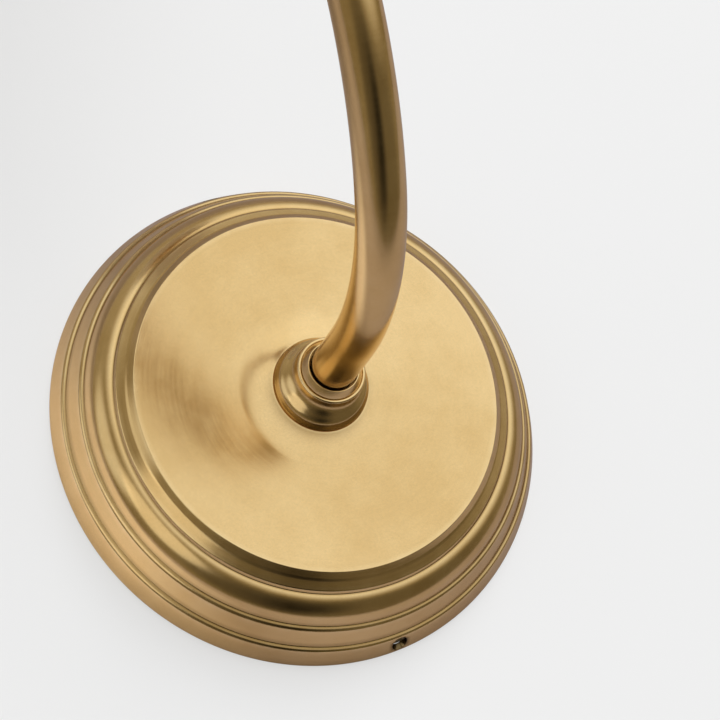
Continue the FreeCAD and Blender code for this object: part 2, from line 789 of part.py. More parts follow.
def earth_lead():
    # from the tail of the tag round to the earth screw on the crossbar
    tail = (amount("earth_tag_tail") - amount("lead_radius") * 3) * math.sqrt(0.5)
    height = amount(HUB_SEAT + " - canopy_wall - earth_tag_thickness - lead_radius")
    floor = EARTH_ROUTE[-1][1]
    start = FreeCAD.Vector(tail, -height, -tail)
    last = FreeCAD.Vector(amount("earth_screw_head"), -floor, -amount("earth_screw_drop"))
    points = [start] + route_points(EARTH_ROUTE) + [last]
    lead("earth_lead", points, widest(points))


def arm_leads():
    # through the nipple and the tube, then apart inside the cap and up beside the lampholder's flats
    bends = arm_points()
    first = amount("arm_first_radius")
    second = amount("arm_second_radius")
    turn = math.radians(amount("arm_first_turn"))
    out, up = bends[-1]
    knee = amount("arm_straight_end") + first * math.tan(turn / 2)
    rise = bends[2][1] + second * math.tan((math.pi / 2 - turn) / 2) * math.sin(turn)
    top = up + amount("arm_top_run")
    fan = top + amount(CAP_FLOOR + " + lead_radius")
    spread = top + amount(BODY_SEAT + " - lead_fan_gap")
    end = top + amount(BODY_SEAT + " + terminal_height - terminal_head")
    aside = amount("terminal_flat + lead_radius + seat_gap")
    for name, side in (("arm_lead_live", 1), ("arm_lead_neutral", -1)):
        x = side * amount("lead_offset")
        points = [
            FreeCAD.Vector(x, -amount(BUSHING_END), 0),
            FreeCAD.Vector(x, -knee, 0),
            FreeCAD.Vector(x, -out, rise),
            FreeCAD.Vector(x, -out, fan),
            FreeCAD.Vector(x, -out - side * aside, spread),
            FreeCAD.Vector(x, -out - side * aside, end),
        ]
        lead(name, points, [first, second] + widest(points[2:]))


# Arm

def arm_tube():
    # the centre line is sketched in the upright plane of the arm, the ring on a plane across its start
    body = doc.addObject("PartDesign::Body", "arm_tube")
    body.Label = "arm_tube"
    bends = [FreeCAD.Vector(-out, up, 0) for out, up in arm_points()]
    path = new_sketch(body, "YZ_Plane", "arm_line")
    start = FreeCAD.Vector(-amount(TUBE_START), 0, 0)
    top = bends[4] + FreeCAD.Vector(0, amount("arm_top_run"), 0)
    root = path.addGeometry(Part.LineSegment(start, bends[0]))
    first = path.addGeometry(Part.Arc(bends[0], bends[1], bends[2]))
    second = path.addGeometry(Part.Arc(bends[2], bends[3], bends[4]))
    run = path.addGeometry(Part.LineSegment(bends[4], top))
    joins = [(root, 2), (first, 0), (first, 0), (second, 0), (second, 0), (run, 1)]
    for (near, near_end), (far, far_end), place in zip(joins[::2], joins[1::2], (0, 2, 4)):
        near_end = near_end or nearest_end(path, near, bends[place])
        far_end = far_end or nearest_end(path, far, bends[place])
        path.addConstraint(Sketcher.Constraint("Tangent", near, near_end, far, far_end))
    pin(path, root, 1, opposite(TUBE_START), "0")
    pin(path, root, 2, "0 - arm_straight_end", "0")
    size_of_curve(path, "Radius", first, "arm_first_radius")
    size_of_curve(path, "Radius", second, "arm_second_radius")
    index = path.addConstraint(Sketcher.Constraint("Angle", first, math.radians(amount("arm_first_turn"))))
    path.setExpression(f"Constraints[{index}]", TURN)
    path.addConstraint(Sketcher.Constraint("Vertical", run))
    size_of_curve(path, "Distance", run, "arm_top_run")
    ring = new_sketch(body, "XZ_Plane", "arm_ring", TUBE_START)
    add_circle(ring, "0", "0", "tube_radius")
    add_circle(ring, "0", "0", "tube_radius - tube_wall")
    pipe = body.newObject("PartDesign::AdditivePipe", "arm_pipe")
    pipe.Profile = ring
    pipe.Spine = (path, [])
    doc.recompute()


def nearest_end(sketch, curve, point):
    return min((1, 2), key=lambda end: (sketch.getPoint(curve, end) - point).Length)


def arm_nipple():
    # brazed in the tube's end: a plug, and a threaded tail that turns in the hub
    shoulder = "hub_tail_length + hub_floor + thrust_washer"
    plug = "tube_radius - tube_wall - running_gap"
    turned_piece("arm_nipple", [
        ("nipple_bore", "0 - nipple_tail"),
        ("nipple_radius", "0 - nipple_tail"),
        ("nipple_radius", shoulder),
        (plug, shoulder),
        (plug, shoulder + " + plug_length"),
        ("nipple_bore", shoulder + " + plug_length"),
    ], TAIL_END)


def swivel_washers():
    # a nylon thrust ring under the tube, a dished spring washer under the hub's tail
    inner = "nipple_radius + seat_gap"
    turned_piece("thrust_washer", [
        (inner, "hub_floor"),
        ("tube_radius", "hub_floor"),
        ("tube_radius", "hub_floor + thrust_washer"),
        (inner, "hub_floor + thrust_washer"),
    ], HUB_SEAT)
    edge = "0 - spring_washer_rise"
    turned_piece("spring_washer", [
        (inner + " + seat_gap", "0"),
        ("spring_washer_radius", edge),
        ("spring_washer_radius", edge + " - spring_washer_thickness"),
        (inner + " + seat_gap", "0 - spring_washer_thickness"),
    ], TAIL_END)


def stop_washer():
    # turns with the arm; its lug points up at rest
    body = new_body("stop_washer", f"{TAIL_END} - {STOP_STACK}")
    disc = new_sketch(body, "XY_Plane", "stop_washer_disc")
    add_circle(disc, "0", "0", "stop_washer_radius")
    pad(body, disc, "stop_washer_thickness")
    lug = new_sketch(body, "XY_Plane", "stop_washer_lug")
    half = "stop_lug_width/2"
    add_outline(lug, [("0 - " + half, "0"), (half, "0"), (half, "stop_lug_reach", "edge_round"),
                      ("0 - " + half, "stop_lug_reach", "edge_round")])
    pad(body, lug, "stop_washer_thickness")
    hole = new_sketch(body, "XY_Plane", "stop_washer_hole")
    add_circle(hole, "0", "0", "nipple_radius + seat_gap")
    pocket(body, hole, reverse=True)


def lead_bushing():
    # an insulating eyelet in the end of the nipple
    end = "0 - bushing_flange"
    turned_piece("lead_bushing", [
        ("bushing_bore", end, "edge_round"),
        ("bushing_flange_radius", end, "edge_round"),
        ("bushing_flange_radius", "0"),
        ("nipple_bore - seat_gap", "0"),
        ("nipple_bore - seat_gap", "bushing_length"),
        ("bushing_bore", "bushing_length"),
    ], TAIL_END + " - nipple_tail")


# Lampholder

def arm_ferrule():
    # a turned bead between the tube and the lampholder's cap, with a plug below and a nipple above
    plug = "tube_radius - tube_wall - running_gap"
    top = "ferrule_height + cap_neck_height"
    turned_piece("arm_ferrule", [
        ("nipple_bore", "0 - plug_length"),
        (plug, "0 - plug_length"),
        (plug, "0"),
        ("ferrule_radius", "0", "ferrule_round"),
        ("ferrule_radius", "ferrule_height", "ferrule_round"),
        ("nipple_radius", "ferrule_height"),
        ("nipple_radius", top),
        ("nipple_bore", top),
    ], "0", front=False)


def socket_cap():
    shoulder = "cap_neck_height + ferrule_round"
    bore = "nipple_radius + running_gap"
    body = turned_piece("socket_cap", [
        (bore, "0"),
        ("cap_neck_radius", "0"),
        ("cap_neck_radius", "cap_neck_height", "ferrule_round"),
        ("cap_radius", shoulder, "cap_round"),
        ("cap_radius", "cap_height"),
        ("cap_radius - cap_wall", "cap_height"),
        ("cap_radius - cap_wall", shoulder + " + cap_wall", "cap_round - cap_wall"),
        ("cap_neck_radius - cap_wall", "cap_neck_height + cap_wall", "ferrule_round"),
        (bore, "cap_neck_height + cap_wall"),
    ], "ferrule_height", front=False)
    tap = new_sketch(body, "XZ_Plane", "cap_tap")
    add_circle(tap, "0", "cap_neck_height/2", "cap_screw_radius + running_gap")
    pocket(body, tap)
    screw = set_screw("cap_screw", "cap_screw_radius", "cap_screw_length", "cap_screw_socket",
                      "cap_screw_length/2")
    screw.Placement.Rotation = FreeCAD.Rotation(FreeCAD.Vector(1, 0, 0), -90)
    screw.setExpression("Placement.Base.y", f"-({ARM_REACH}) + {bound('nipple_radius + seat_gap')}")
    screw.setExpression("Placement.Base.z", f"{ARM_RISE} + {bound('ferrule_height + cap_neck_height/2')}")


def notch(body, height, radius):
    # the slot that lets a sleeve slide down over the switch's stem
    sketch = new_sketch(body, "YZ_Plane", body.Name + "_notch")
    half = "shell_notch/2"
    add_outline(sketch, [("0 - " + half, "0 - free_gap"), (half, "0 - free_gap"),
                         (half, height, "shell_notch_round"), ("0 - " + half, height, "shell_notch_round")])
    pocket(body, sketch, radius, reverse=True)


def socket_shell():
    # the brass shell, with a narrower threaded end that carries the shade holder
    outer = "cap_radius - cap_wall - seat_gap"
    thread_top = "shell_height + shell_thread_height"
    body = turned_piece("socket_shell", [
        (outer, "0"),
        (outer, "shell_height", "edge_round"),
        ("shell_thread_radius", "shell_height"),
        ("shell_thread_radius", thread_top),
        ("shell_thread_radius - shell_wall", thread_top),
        ("shell_thread_radius - shell_wall", "shell_height - shell_wall"),
        (outer + " - shell_wall", "shell_height - shell_wall"),
        (outer + " - shell_wall", "0"),
    ], SHELL_SEAT, front=False)
    notch(body, "holder_body_start + stem_height + shell_notch/2", outer + " + free_gap")


def socket_liner():
    outer = "shell_thread_radius - shell_wall - seat_gap"
    body = turned_piece("socket_liner", [
        (outer + " - liner_thickness", "0"),
        (outer, "0"),
        (outer, "shell_height + shell_thread_height - holder_body_rim - free_gap"),
        (outer + " - liner_thickness", "shell_height + shell_thread_height - holder_body_rim - free_gap"),
    ], SHELL_SEAT + " + holder_body_rim", front=False)
    notch(body, "holder_body_start - holder_body_rim + stem_height + shell_notch/2", outer + " + free_gap")


def lampholder_body():
    # the moulded core: a shallow dish for the screw shell, two terminal flats and the stem's hole
    body = turned_piece("lampholder_body", [
        ("0", "0"),
        ("holder_body_radius", "0", "edge_round"),
        ("holder_body_radius", "holder_body_height", "edge_round"),
        ("screw_shell_bore + screw_shell_wall + free_gap", "holder_body_height"),
        ("screw_shell_bore + screw_shell_wall + free_gap", DISH),
        ("0", DISH),
    ], BODY_SEAT, front=False)
    half = "terminal_width/2"
    for side, near, far in (("front", "0 - holder_body_radius - free_gap", "0 - terminal_flat"),
                            ("rear", "terminal_flat", "holder_body_radius + free_gap")):
        flat = new_sketch(body, "XY_Plane", f"terminal_flat_{side}")
        add_outline(flat, [("0 - " + half, near), (half, near), (half, far), ("0 - " + half, far)])
        pocket(body, flat, "terminal_height + terminal_head + free_gap", reverse=True)
    taps = new_sketch(body, "XZ_Plane", "terminal_taps", "terminal_flat - terminal_depth")
    add_circle(taps, "0", "terminal_height", "terminal_shank + running_gap")
    pocket(body, taps, reverse=True)
    others = new_sketch(body, "XZ_Plane", "terminal_taps_rear", "terminal_depth - terminal_flat")
    add_circle(others, "0", "terminal_height", "terminal_shank + running_gap")
    pocket(body, others)
    bore = new_sketch(body, "YZ_Plane", "stem_bore")
    add_circle(bore, "0", "stem_height", "stem_radius + running_gap")
    pocket(body, bore, reverse=True)


def terminal_screws():
    for name, turn, side in (("terminal_live", 90, "-"), ("terminal_neutral", -90, "+")):
        body = new_body(name)
        revolve(body, [
            ("0", "free_gap"),
            ("terminal_shank", "free_gap"),
            ("terminal_shank", "terminal_depth"),
            ("terminal_head", "terminal_depth"),
            ("terminal_head", "terminal_depth + terminal_head_height", "edge_round"),
            ("0", "terminal_depth + terminal_head_height"),
        ])
        slot = new_sketch(body, "XY_Plane", name + "_slot", "terminal_depth + terminal_head_height")
        half = "terminal_head_height/4"
        add_outline(slot, [("0 - terminal_head", "0 - " + half), ("terminal_head", "0 - " + half),
                           ("terminal_head", half), ("0 - terminal_head", half)])
        pocket(body, slot, "terminal_head_height/2")
        body.Placement.Rotation = FreeCAD.Rotation(FreeCAD.Vector(1, 0, 0), turn)
        inset = bound("terminal_flat - terminal_depth")
        body.setExpression("Placement.Base.y", f"-({ARM_REACH}) {side} ({inset})")
        body.setExpression("Placement.Base.z", f"{ARM_RISE} + {bound(BODY_SEAT + ' + terminal_height')}")


def screw_shell():
    outer = "screw_shell_bore + screw_shell_wall"
    turned_piece("screw_shell", [
        ("screw_shell_floor_hole", "0"),
        (outer, "0", "screw_shell_round"),
        (outer, "screw_shell_height"),
        ("screw_shell_bore", "screw_shell_height"),
        ("screw_shell_bore", "screw_shell_wall", "screw_shell_round - screw_shell_wall"),
        ("screw_shell_floor_hole", "screw_shell_wall"),
    ], f"{BODY_SEAT} + {DISH}", front=False)


def centre_contact():
    # a springy strip: a foot on the moulding, a slope and a raised end under the lamp's tip
    body = new_body("centre_contact", f"{BODY_SEAT} + {DISH}", front=False)
    side = new_sketch(body, "XZ_Plane", "contact_side")
    thick = "contact_thickness"
    add_outline(side, [
        ("0 - contact_foot", "0"),
        ("0 - contact_bend", "0"),
        ("contact_bend/2", "contact_rise"),
        ("contact_toe", "contact_rise"),
        ("contact_toe", "contact_rise + " + thick),
        ("contact_bend/4", "contact_rise + " + thick),
        ("0 - contact_bend - " + thick + "/2", thick),
        ("0 - contact_foot", thick),
    ])
    pad(body, side, "contact_width", symmetric=True)


def place_switch(body):
    # the stem and knob lie along +X through the moulding
    body.Placement.Rotation = FreeCAD.Rotation(FreeCAD.Vector(0, 1, 0), 90)
    body.setExpression("Placement.Base.y", f"-({ARM_REACH})")
    body.setExpression("Placement.Base.z", f"{ARM_RISE} + {bound(BODY_SEAT + ' + stem_height')}")


def switch():
    stem = turned_piece("switch_stem", [("0", "free_gap"), ("stem_radius", "free_gap"),
                                        ("stem_radius", "stem_end"), ("0", "stem_end")])
    place_switch(stem)
    end = "knob_start + knob_length"
    neck = "knob_start + knob_neck_length"
    knob = turned_piece("switch_knob", [
        ("stem_radius + running_gap", "knob_start"),
        ("knob_neck", "knob_start", "edge_round"),
        ("knob_neck", neck, "knob_flute"),
        ("knob_radius", neck, "knob_flute"),
        ("knob_radius", end, "knob_flute"),
        ("0", end),
        ("0", "stem_end + seat_gap"),
        ("stem_radius + running_gap", "stem_end + seat_gap"),
    ])
    flutes(knob, "knob_radius + knob_flute/2", "knob_flute", 10, "knob_length - knob_neck_length", neck)
    place_switch(knob)


# Shade holder, ring, screws and glass

def shade_holder():
    # a dish clamped on the shell's shoulder, its rim drilled for three screws
    inner = "shell_thread_radius + seat_gap"
    rim = "gallery_height - gallery_bead - gallery_bead"
    body = turned_piece("shade_holder", [
        (inner, "0"),
        ("gallery_flare", "0", "gallery_round"),
        ("gallery_radius", "glass_seat", "gallery_round"),
        ("gallery_radius", rim, "edge_round"),
        ("gallery_radius + gallery_bead", rim, "edge_round"),
        ("gallery_radius + gallery_bead", "gallery_height", "edge_round"),
        ("gallery_radius - gallery_wall", "gallery_height", "edge_round"),
        ("gallery_radius - gallery_wall", "glass_seat + gallery_wall/2", "gallery_round - gallery_wall"),
        ("gallery_flare - gallery_wall/2", "gallery_wall", "gallery_round"),
        (inner, "gallery_wall"),
    ], SHOULDER, front=False)
    boss = new_sketch(body, "YZ_Plane", "thumb_boss", "gallery_radius + thumb_boss")
    add_circle(boss, "0", "thumb_height", "thumb_boss_radius")
    polar(body, pad(body, boss, "thumb_boss + gallery_wall/2", reverse=True), 3)
    tap = new_sketch(body, "YZ_Plane", "thumb_tap", "gallery_radius + thumb_boss")
    add_circle(tap, "0", "thumb_height", "thumb_radius + running_gap")
    polar(body, pocket(body, tap, "thumb_boss + gallery_wall + thumb_radius"), 3)


def shade_ring():
    inner = "shell_thread_radius + seat_gap"
    body = turned_piece("shade_ring", [
        (inner, "0"), ("ring_radius", "0", "edge_round"), ("ring_radius", "ring_height", "edge_round"),
        (inner, "ring_height")], SHOULDER + " + gallery_wall", front=False)
    flutes(body, "ring_radius + ring_flute/2", "ring_flute", 18, "ring_height", "0")


def thumb_screws():
    # three screws a third of a turn apart, their tips in the groove above the glass's lip
    tip = "glass_neck_radius + free_gap"
    head = "thumb_head_start + thumb_head_length"
    for number in range(3):
        name = f"thumb_screw_{number + 1}"
        body = turned_piece(name, [
            ("0", tip),
            ("thumb_radius", tip, "edge_round"),
            ("thumb_radius", "thumb_head_start"),
            ("thumb_head_radius", "thumb_head_start", "edge_round"),
            ("thumb_head_radius", head, "edge_round"),
            ("0", head),
        ])
        flutes(body, "thumb_head_radius + thumb_flute/4", "thumb_flute", 14, "thumb_head_length",
               "thumb_head_start")
        about_up = FreeCAD.Rotation(FreeCAD.Vector(0, 0, 1), 120 * number)
        body.Placement.Rotation = about_up.multiply(FreeCAD.Rotation(FreeCAD.Vector(0, 1, 0), 90))
        body.setExpression("Placement.Base.y", f"-({ARM_REACH})")
        body.setExpression("Placement.Base.z", f"{ARM_RISE} + {bound(SHOULDER + ' + thumb_height')}")


def glass_shade():
    # a bell of blown glass: lip, groove for the screws, round shoulder and flared mouth
    lip_top = "glass_seat + glass_lip_height"
    inner = "glass_neck_radius - glass_wall"
    turned_piece("glass_shade", [
        (inner, "glass_seat", "edge_round"),
        ("glass_lip_radius", "glass_seat", "gallery_bead"),
        ("glass_lip_radius", lip_top, "gallery_bead"),
        ("glass_neck_radius", lip_top, "edge_round"),
        ("glass_neck_radius", "glass_neck_top", "gallery_round"),
        ("glass_shoulder_radius", "glass_shoulder_height", "glass_shoulder_round"),
        ("glass_body_radius", "glass_body_height", "glass_body_round"),
        ("glass_mouth_radius", "glass_height", "glass_wall/3"),
        ("glass_mouth_radius - glass_wall", "glass_height", "glass_wall/3"),
        ("glass_body_radius - glass_wall", "glass_body_height", "glass_body_round"),
        ("glass_shoulder_radius - glass_wall", "glass_shoulder_height + glass_wall/2",
         "glass_shoulder_round - glass_wall"),
        (inner, "glass_neck_top + glass_wall/2", "gallery_round + glass_wall"),
    ], SHOULDER, front=False)


def build():
    mounting_bar()
    canopy()
    canopy_screws()
    earth_screw()
    hub()
    hub_collar()
    earth_tag()
    hexagon_nut("hub_nut", "hub_nut_flats", "hub_nut_height", "hub_tail_radius + running_gap",
                HUB_SEAT + " - canopy_wall - earth_tag_thickness")
    stop_pin()
    canopy_leads()
    connectors()
    earth_lead()
    arm_tube()
    arm_nipple()
    swivel_washers()
    stop_washer()
    hexagon_nut("arm_nut", "arm_nut_flats", "arm_nut_height", "nipple_radius + running_gap",
                f"{TAIL_END} - {STOP_STACK}")
    lead_bushing()
    arm_leads()
    arm_ferrule()
    socket_cap()
    socket_shell()
    socket_liner()
    lampholder_body()
    terminal_screws()
    screw_shell()
    centre_contact()
    switch()
    shade_holder()
    shade_ring()
    thumb_screws()
    glass_shade()


def write():
    # checks every object, then writes each piece under its own name
    doc.recompute()
    for item in doc.Objects:
        if "Invalid" in item.State or "Error" in item.State:
            raise RuntimeError(f"{item.Name} failed: {item.State}")
    pieces = [item for item in doc.Objects if item.isDerivedFrom("PartDesign::Body")
              or item.TypeId == "Part::Feature"]
    for piece in pieces:
        if piece.Shape.isNull() or not piece.Shape.isValid() or not piece.Shape.Solids:
            raise RuntimeError(f"{piece.Label} has no valid solid")
    os.makedirs("parts", exist_ok=True)
    for piece in pieces:
        piece.Shape.exportStep(f"parts/{piece.Label}.step")
    print(f"{len(pieces)} pieces written")


build()
write()
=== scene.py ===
import bpy
import bmesh
import json
from math import atan2, cos, degrees, hypot, pi, radians, sin, tan
from mathutils import Matrix, Vector

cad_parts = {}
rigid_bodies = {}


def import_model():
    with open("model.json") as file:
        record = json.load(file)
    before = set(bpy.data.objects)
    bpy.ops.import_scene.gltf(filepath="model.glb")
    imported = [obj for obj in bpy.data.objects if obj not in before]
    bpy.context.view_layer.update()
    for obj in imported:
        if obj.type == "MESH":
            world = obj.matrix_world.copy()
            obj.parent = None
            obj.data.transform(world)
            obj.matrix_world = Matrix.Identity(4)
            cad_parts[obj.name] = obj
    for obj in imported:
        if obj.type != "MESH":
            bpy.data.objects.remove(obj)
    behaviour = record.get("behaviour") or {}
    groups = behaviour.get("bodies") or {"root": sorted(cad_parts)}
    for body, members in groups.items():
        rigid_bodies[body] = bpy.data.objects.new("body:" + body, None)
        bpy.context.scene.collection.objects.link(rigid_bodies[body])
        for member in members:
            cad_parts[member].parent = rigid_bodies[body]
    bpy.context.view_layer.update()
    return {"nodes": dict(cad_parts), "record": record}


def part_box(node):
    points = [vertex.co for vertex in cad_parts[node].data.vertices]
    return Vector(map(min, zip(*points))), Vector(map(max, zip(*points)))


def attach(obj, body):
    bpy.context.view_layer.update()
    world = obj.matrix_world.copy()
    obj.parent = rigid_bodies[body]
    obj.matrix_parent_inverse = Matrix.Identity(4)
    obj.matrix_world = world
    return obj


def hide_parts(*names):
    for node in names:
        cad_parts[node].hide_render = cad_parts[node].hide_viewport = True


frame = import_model()
record = frame["record"]
scene = bpy.context.scene
millimetre = 0.001
bodyOf = {node: body for body, members in record["behaviour"]["bodies"].items() for node in members}
slotOf = {row["node"]: row["material_slot"] for row in record["subparts"]}
print("frame loaded:", len(frame["nodes"]), "nodes")


# Places and objects: the wall is at y 0, and the head stands on the arm's end

def middle(node):
    low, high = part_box(node)
    return (low + high) / 2


def lift(distance):
    return Matrix.Translation((0, 0, distance * millimetre))


def quarter(axis, turns=1):
    return Matrix.Rotation(turns * pi / 2, 4, axis)


def addObject(name, data):
    item = bpy.data.objects.new(name, data)
    scene.collection.objects.link(item)
    return item


def addMesh(name, bm):
    mesh = bpy.data.meshes.new(name)
    bm.to_mesh(mesh)
    bm.free()
    return addObject(name, mesh)


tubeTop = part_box("arm_tube")[1].z
headAxis = Vector((0, middle("glass_shade").y, tubeTop))
frontPlace = quarter("X")                           # heights are then distances out of the wall
headPlace = Matrix.Translation(headAxis)            # heights are then distances above the tube


# Camera

cameraValues = {
    "place": (-0.20552, -0.51006, -0.13275),
    "right": (0.876292, -0.278493, -0.393165),
    "up": (0.231848, -0.471585, 0.850695),
    "lens": 99.79,
    "shift": (0.0158, -0.3185),     # the photograph is a crop from below the middle of its frame
}


def addCamera(values):
    lens = bpy.data.cameras.new("camera")
    lens.lens = values["lens"]
    lens.sensor_width = 36.0
    lens.clip_start = 0.01
    lens.shift_x, lens.shift_y = values["shift"]
    camera = addObject("camera", lens)
    right, up = Vector(values["right"]).normalized(), Vector(values["up"]).normalized()
    turn = Matrix((right, up, right.cross(up))).transposed().to_4x4()
    camera.matrix_world = Matrix.Translation(values["place"]) @ turn
    scene.camera = camera


addCamera(cameraValues)
print("camera set")


# Material helpers

def newTree(name):
    material = bpy.data.materials.new(name)
    material.use_nodes = True
    tree = material.node_tree
    tree.nodes.clear()
    output = tree.nodes.new("ShaderNodeOutputMaterial")
    return material, tree, output


def put(tree, socket, value):
    if isinstance(value, bpy.types.NodeSocket):
        tree.links.new(value, socket)
    else:
        socket.default_value = value


def addNode(tree, kind, inputs=None, **settings):
    node = tree.nodes.new("ShaderNode" + kind)
    for name, value in settings.items():
        setattr(node, name, value)
    for name, value in (inputs or {}).items():
        put(tree, node.inputs[name], value)
    return node


def ramp(tree, factor, stops):
    # grey from one tone to another between two places
    node = addNode(tree, "ValToRGB", {"Fac": factor})
    for element, (place, tone) in zip(node.color_ramp.elements, stops):
        element.position = place
        element.color = (tone, tone, tone, 1.0)
    return node.outputs["Color"]


def noise(tree, vector, scale, detail=3.0, roughness=0.5):
    node = addNode(tree, "TexNoise", {"Vector": vector, "Scale": scale, "Detail": detail,
                                      "Roughness": roughness})
    return node.outputs["Fac"]


def mathNode(tree, operation, *values):
    node = addNode(tree, "Math", operation=operation)
    for i, value in enumerate(values):
        put(tree, node.inputs[i], value)
    return node.outputs[0]


def together(tree, first, second, share):
    # one texture's share and the rest of another
    return mathNode(tree, "ADD", mathNode(tree, "MULTIPLY", first, share),
                    mathNode(tree, "MULTIPLY", second, 1.0 - share))


def blendColours(tree, factor, first, second, mode="MIX"):
    node = addNode(tree, "Mix", data_type="RGBA", blend_type=mode)
    for i, value in ((0, factor), (6, first), (7, second)):
        put(tree, node.inputs[i], (*value, 1.0) if isinstance(value, tuple) else value)
    return node.outputs[2]


def span(tree, value, low, high, outLow, outHigh):
    node = addNode(tree, "MapRange", {"Value": value, "From Min": low, "From Max": high,
                                      "To Min": outLow, "To Max": outHigh})
    return node.outputs["Result"]


def stretched(tree, vector, scale):
    return addNode(tree, "Mapping", {"Vector": vector, "Scale": scale}).outputs["Vector"]


def grey(tree, level):
    node = addNode(tree, "CombineColor", {"Red": level, "Green": level, "Blue": level})
    return node.outputs["Color"]


def objectPlace(tree):
    return addNode(tree, "TexCoord").outputs["Object"]


def bumped(tree, heights, distance, strength):
    node = addNode(tree, "Bump", {"Height": heights, "Distance": distance, "Strength": strength})
    return node.outputs["Normal"]


# Materials

finishes = {}
agedBrassValues = {
    "pale": (0.80, 0.585, 0.285),
    "deep": (0.70, 0.488, 0.214),
    "worn": (0.84, 0.64, 0.34),
    # the next two colours are painted shade: dark brown in concave creases and at the hub's foot,
    # near-black in drilled holes
    "dark": (0.36, 0.235, 0.09),
    "bore": (0.02, 0.015, 0.008),
    "roughness": (0.16, 0.22),
    "cloud": (26.0, 2.0, 0.45),             # scale, detail and roughness of each noise
    "mottle": (160.0, 4.0, 0.6),
    "speck": (1900.0, 2.0, 0.5),
    "fine": (30.0, 30.0, 1400.0),           # scales of the lathe marks round and across the turning
    "finer": (120.0, 120.0, 5200.0),
    "streaks": (0.965, 1.03),
    "grainDepth": 0.0000025,
    "grainStrength": 0.6,
}
plainTexture = {
    "cloud": (60.0, 4.0, 0.6),
    "fine": (3.0, 0.6),             # detail and roughness; the scale is each finish's own
    "tones": (0.88, 1.12),
    "polish": (0.85, 1.2),
    "strength": 0.5,
}


def brassFinish(name, values):
    # satin brass with lathe marks that follow each piece's turning, worn edges, and painted shade
    # in concave creases and drilled holes
    material, tree, output = newTree(name)
    place = objectPlace(tree)
    grain = addNode(tree, "Attribute", attribute_name="grain").outputs["Vector"]
    wearAndShade = addNode(tree, "Attribute", attribute_name="wearAndShade").outputs["Fac"]
    cloud = noise(tree, place, *values["cloud"])
    mottle = noise(tree, place, *values["mottle"])
    speck = noise(tree, place, *values["speck"])
    fine = noise(tree, stretched(tree, grain, values["fine"]), 1.0, 3.0, 0.6)
    finer = noise(tree, stretched(tree, grain, values["finer"]), 1.0, 2.0, 0.6)
    tone = ramp(tree, together(tree, cloud, mottle, 0.7), [(0.38, 0.0), (0.62, 1.0)])
    colour = blendColours(tree, tone, values["deep"], values["pale"])
    streak = span(tree, together(tree, fine, speck, 0.35), 0.35, 0.65, *values["streaks"])
    colour = blendColours(tree, 1.0, colour, grey(tree, streak), "MULTIPLY")
    bright = mathNode(tree, "MULTIPLY", ramp(tree, wearAndShade, [(0.0, 0.0), (1.0, 1.0)]),
                      span(tree, mottle, 0.3, 0.7, 0.2, 0.7))
    colour = blendColours(tree, bright, colour, values["worn"])
    # painted shade: concave creases and the hub's foot darken towards the shade colour
    colour = blendColours(tree, span(tree, wearAndShade, 0.0, -1.0, 0.0, 0.6), colour, values["dark"])
    # painted shade: the drilled holes' walls turn near-black
    colour = blendColours(tree, span(tree, wearAndShade, -1.0, -2.4, 0.0, 1.0), colour, values["bore"])
    rough = span(tree, together(tree, mottle, fine, 0.5), 0.35, 0.65, *values["roughness"])
    marks = together(tree, fine, finer, 0.6)
    shader = addNode(tree, "BsdfPrincipled", {
        "Base Color": colour, "Metallic": 1.0, "Roughness": rough,
        "Normal": bumped(tree, marks, values["grainDepth"], values["grainStrength"])})
    tree.links.new(shader.outputs[0], output.inputs["Surface"])
    finishes[name] = material


def plainFinish(name, colour, metallic, roughness, coat=0.0, marks=900.0, depth=0.00001):
    # a finish on object coordinates: cloudy tone, fine marks in bump and roughness
    material, tree, output = newTree(name)
    place = objectPlace(tree)
    cloud = noise(tree, place, *plainTexture["cloud"])
    fine = noise(tree, place, marks, *plainTexture["fine"])
    tone = span(tree, cloud, 0.3, 0.7, *plainTexture["tones"])
    low, high = plainTexture["polish"]
    shader = addNode(tree, "BsdfPrincipled", {
        "Base Color": blendColours(tree, 1.0, colour, grey(tree, tone), "MULTIPLY"),
        "Metallic": metallic,
        "Roughness": span(tree, fine, 0.3, 0.7, roughness * low, roughness * high),
        "Normal": bumped(tree, fine, depth, plainTexture["strength"]),
        "Coat Weight": coat})
    tree.links.new(shader.outputs[0], output.inputs["Surface"])
    finishes[name] = material


def opalFinish(values):
    # white cased glass: a thin milky body that lets light through, with a fire-polished surface
    material, tree, output = newTree("opal_glass")
    place = objectPlace(tree)
    cloud = noise(tree, place, *values["cloud"])
    ripple = noise(tree, place, *values["ripple"])
    colour = blendColours(tree, ramp(tree, cloud, [(0.35, 0.0), (0.65, 1.0)]),
                          values["deep"], values["pale"])
    shader = addNode(tree, "BsdfPrincipled", {
        "Base Color": colour, "Roughness": span(tree, ripple, 0.3, 0.7, *values["roughness"]),
        "IOR": 1.5, "Subsurface Weight": values["milk"], "Subsurface Radius": values["reach"],
        "Subsurface Scale": 1.0, "Transmission Weight": values["clear"],
        "Normal": bumped(tree, ripple, *values["bump"])})
    tree.links.new(shader.outputs[0], output.inputs["Surface"])
    finishes["opal_glass"] = material


